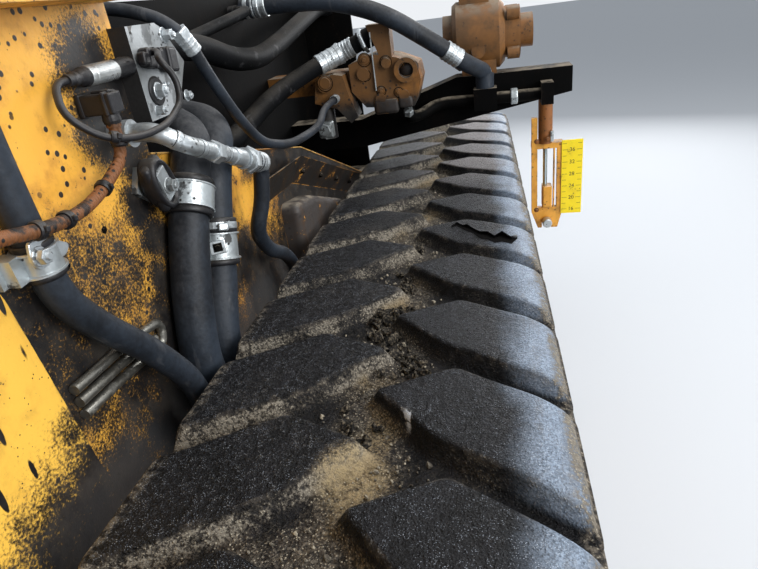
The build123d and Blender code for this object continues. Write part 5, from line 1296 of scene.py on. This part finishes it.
def on_a_lug(x, s):
    """Whether a place of the belt lies under the foot of a lug's arm."""
    outline = list(zip(ARM_OUTLINE, ARM_OUTLINE[1:] + ARM_OUTLINE[:1]))
    for side, first in ((1, 0.0), (-1, PITCH / 2)):
        middle = (s - ARMS_START - first + PITCH / 2) % PITCH - PITCH / 2
        for along in (middle - PITCH, middle, middle + PITCH):
            crossed = 0
            for (x1, s1), (x2, s2) in outline:
                if (s1 > along) != (s2 > along):
                    crossed += x * side < (x2 - x1) * (along - s1) / (s2 - s1) + x1
            if crossed % 2:
                return True
    return False


def tumbled(place, x, y, z):
    """The matrix that turns a stone at random, scales it and puts it at a place."""
    turn = Euler((dice.uniform(0, 6), dice.uniform(0, 6), dice.uniform(0, 6))).to_matrix().to_4x4()
    return Matrix.Translation(place) @ turn @ Matrix.Diagonal((x, y, z, 1.0))


stone_mesh = mesh_of(ball(1, 0.72, 0.5, 1.7), "stone")
stones = bmesh.new()
count = 0
while count < STONES:
    x = dice.triangular(-0.21, 0.222, 0.02)
    s = dice.uniform(0.0, BELT_LENGTH)
    if on_a_lug(x, s):
        continue
    size = dice.uniform(STONE_LOW, STONE_HIGH) * (1.0 if dice.random() < 0.9 else BIG_STONE)
    place = on_belt(x, s, CARCASS_T + size * 0.35)
    start = len(stones.verts)
    stones.from_mesh(stone_mesh)
    stones.verts.ensure_lookup_table()
    matrix = tumbled(place, size, size * 0.8, size * 0.6)
    bmesh.ops.transform(stones, matrix=matrix, verts=stones.verts[start:])
    count += 1
chippings = Finish("chippings", roughness=0.85)
tone = chippings.cloud(90.0).step(0.35, 0.68)
chippings.set(Base_Color=chippings.coats((64, 58, 50), (tone, (168, 158, 138))))
chippings.bump(chippings.cloud(600.0), 0.0008)
add_piece("tread_chippings", stones, "chippings")

# %% [markdown]
# ## Clods and a torn lug
#
# Bitumen and sand cake into black clods between the lugs. They are larger stones of the same kind, dented
# more, in a few heaps. One outboard lug is torn: the tear is a jagged black slit from the middle of the lug
# to its shoulder, with a strip of rubber on its far side that stands up a few millimetres. Slit and strip
# follow a short table of points along the belt's surface, and are bent with the belt like the lug itself.

# %% Clods and a torn lug
# columns: across, along the belt, spread, count, size
HEAPS = [
    (-0.006, 0.63, 0.026, 34, 0.013),
    (-0.008, 0.541, 0.024, 34, 0.012),
    (0.03, 0.5, 0.018, 16, 0.009),
    (0.0, 0.742, 0.022, 20, 0.009),
    (-0.004, 0.905, 0.016, 10, 0.0075),
    (-0.024, 0.36, 0.024, 18, 0.009),
    (0.01, 0.205, 0.024, 18, 0.008),
]
clods = []
for across, along, spread, number, size in HEAPS:
    for count in range(number):
        x = across + dice.gauss(0, spread * 0.6)
        s = along + dice.gauss(0, spread)
        place = on_belt(x, s, CARCASS_T + size * dice.uniform(0.1, 0.5))
        scale = size * dice.uniform(0.4, 1.1)
        clod = ball(2, 0.7, 0.65, 1.3, (count, across * 90, 0))
        clods.append((clod, tumbled(place, scale * 1.2, scale, scale * 0.6)))
bitumen = Finish("bitumen_clods", roughness=0.8)
crumbs = bitumen.cloud(260.0, detail=5.0)
bitumen.set(Base_Color=bitumen.coats((24, 22, 20), (crumbs.step(0.45, 0.7), (112, 102, 86))))
bitumen.set(Specular_IOR_Level=0.2)
bitumen.bump(crumbs, 0.003)
add_piece("tread_clods", joined(clods), "bitumen_clods")

# columns: across, along the belt, half width of the slit
TEAR = [
    (0.066, 0.962, 0.001),
    (0.076, 0.978, 0.007),
    (0.088, 0.958, 0.006),
    (0.098, 0.95, 0.013),
    (0.11, 0.932, 0.009),
    (0.124, 0.906, 0.012),
    (0.138, 0.902, 0.013),
    (0.15, 0.88, 0.012),
    (0.164, 0.89, 0.018),
    (0.18, 0.87, 0.012),
    (0.192, 0.886, 0.0012),
]
TEAR_LIFT = CARCASS_T + LUG_H + 0.0004
TORN_T = 0.0006


def along_tear(ways):
    """A thin skin along the tear; columns: half widths past its middle, metres more, half widths up."""
    shape = bmesh.new()
    for (x1, s1, w1), (x2, s2, w2) in zip(TEAR, TEAR[1:]):
        for (wide1, more1, up1), (wide2, more2, up2) in zip(ways, ways[1:]):
            corners = [
                on_belt(x1, s1 + w1 * wide1 + more1, TEAR_LIFT + w1 * up1),
                on_belt(x2, s2 + w2 * wide1 + more1, TEAR_LIFT + w2 * up1),
                on_belt(x2, s2 + w2 * wide2 + more2, TEAR_LIFT + w2 * up2),
                on_belt(x1, s1 + w1 * wide2 + more2, TEAR_LIFT + w1 * up2),
            ]
            shape.faces.new([shape.verts.new(corner) for corner in corners])
    bmesh.ops.remove_doubles(shape, verts=shape.verts, dist=1e-5)
    bmesh.ops.recalc_face_normals(shape, faces=shape.faces)
    bmesh.ops.solidify(shape, geom=shape.faces[:], thickness=TORN_T)
    bmesh.ops.recalc_face_normals(shape, faces=shape.faces)
    return shape


torn = Finish("torn_rubber", roughness=0.9)
torn.set(Specular_IOR_Level=0.05, Base_Color=torn.coats((5, 5, 6), (torn.cloud(240.0), (18, 16, 15))))
torn.bump(torn.cloud(300.0, detail=4.0), 0.002)
add_piece("tear_slit", along_tear([(-1, 0, 0), (1, 0, 0)]), "torn_rubber")
flap = along_tear([(1, 0, 0), (0.6, 0, 0.55), (1, 0.014, 0)])
lift_layer = flap.verts.layers.float.new("lift")
for vert in flap.verts:
    vert[lift_layer] = 1.0
add_piece("tear_flap", flap, "track_rubber", smooth=True)

# %% [markdown]
# ## Bolts and edges seen from outside
#
# From the road the eye meets the wheels' hubs. Their caps are held by a circle of bolts on a flange, with a
# large nut in the middle. The guard plate is riveted to the wall, two small plugs close holes in the wall,
# and a thin bright strip along the sill under the hose bay is a painted highlight of its edge.

# %% Bolts and edges seen from outside
HUB_FLANGE_T, HUB_FLANGE_W = 0.014, 0.022
hub_rows = []
for node, count in (("drive_hub_cap", 10), ("idler_hub_cap", 6)):
    low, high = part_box(node)
    centre = (low + high) / 2
    reach = (high.z - low.z) / 2 - HUB_FLANGE_W / 2
    for step in range(count):
        turn = (step + 0.5) * 2 * math.pi / count
        place = (low.x + HUB_FLANGE_T, centre.y + reach * math.cos(turn), centre.z + reach * math.sin(turn))
        hub_rows.append((place, OUTBOARD, 0.015, 0.01, 0.0098, turn))
    hub_rows.append(((high.x, centre.y, centre.z), OUTBOARD, 0.036, 0.016, 0.03, 0.2))
fasteners("hub_bolts", hub_rows, "cast_brown")

GUARD_START = Vector((-0.2225, -0.019, 1.116))
GUARD_RUN = Vector((0.0, 0.555, -0.21))
rivets = []
for share in (0.06, 0.3, 0.55, 0.8):
    rivets.append((GUARD_START + GUARD_RUN * share, (0.86, -0.05, -0.5), 0.01, 0.0045, 0.008, 0.3))
for y, z in ((-0.659, 1.238), (-0.732, 1.228)):
    rivets.append(((WALL_FACE_X - 0.002, y, z), OUTBOARD, 0.0085, 0.0026, 0, 0))
fasteners("wall_rivets", rivets, "black_and_painted_shade")

# The bright strip along the sill is a painted highlight of the wall's edge.
SILL_LINE = [(-0.525, 1.29), (-0.175, 1.203), (0.085, 1.141), (0.481, 0.983), (0.702, 0.893)]
corners = [Vector((WALL_FACE_X + 0.0004, y, z)) for y, z in SILL_LINE]
edge_strip = []
for start, end in zip(corners, corners[1:]):
    bar = rounded_box((0.003, 0.0026, (end - start).length), 0.0009)
    edge_strip.append((bar, (start + end) / 2, end - start))
add_piece("sill_edge_highlight", joined(edge_strip), "painted_edge_highlight")

# %% [markdown]
# ## Back of the hose bay
#
# The bay is a folded steel box on the wall's inboard side; its near-black paint stands in for the shade of
# the machine's body above it, which is left out. Three pressed ribs keep its back from drumming, and bolts
# along its top and bottom hold it, so that it comes off for service.

# %% Back of the hose bay
BAY_BOLTS = 12
BAY_MARGIN_Y, BAY_MARGIN_Z = 0.045, 0.022
bay_low, bay_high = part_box("hose_bay")
bay_size = bay_high - bay_low
ribs = []
for share in (0.2, 0.5, 0.8):
    rib = rounded_box((0.012, 0.042, bay_size.z * 0.78), 0.0045, 3)
    ribs.append((rib, (bay_low.x, bay_low.y + bay_size.y * share, (bay_low.z + bay_high.z) / 2)))
add_piece("bay_back_ribs", joined(ribs), "black_and_painted_shade")
bay_rows = []
for step in range(BAY_BOLTS):
    y = bay_low.y + BAY_MARGIN_Y + (bay_size.y - 2 * BAY_MARGIN_Y) * step / (BAY_BOLTS - 1)
    for z in (bay_low.z + BAY_MARGIN_Z, bay_high.z - BAY_MARGIN_Z):
        bay_rows.append(((bay_low.x, y, z), (-1, 0, 0), 0.017, 0.009, 0.015, step * 0.7))
fasteners("bay_bolts", bay_rows, "zinc")
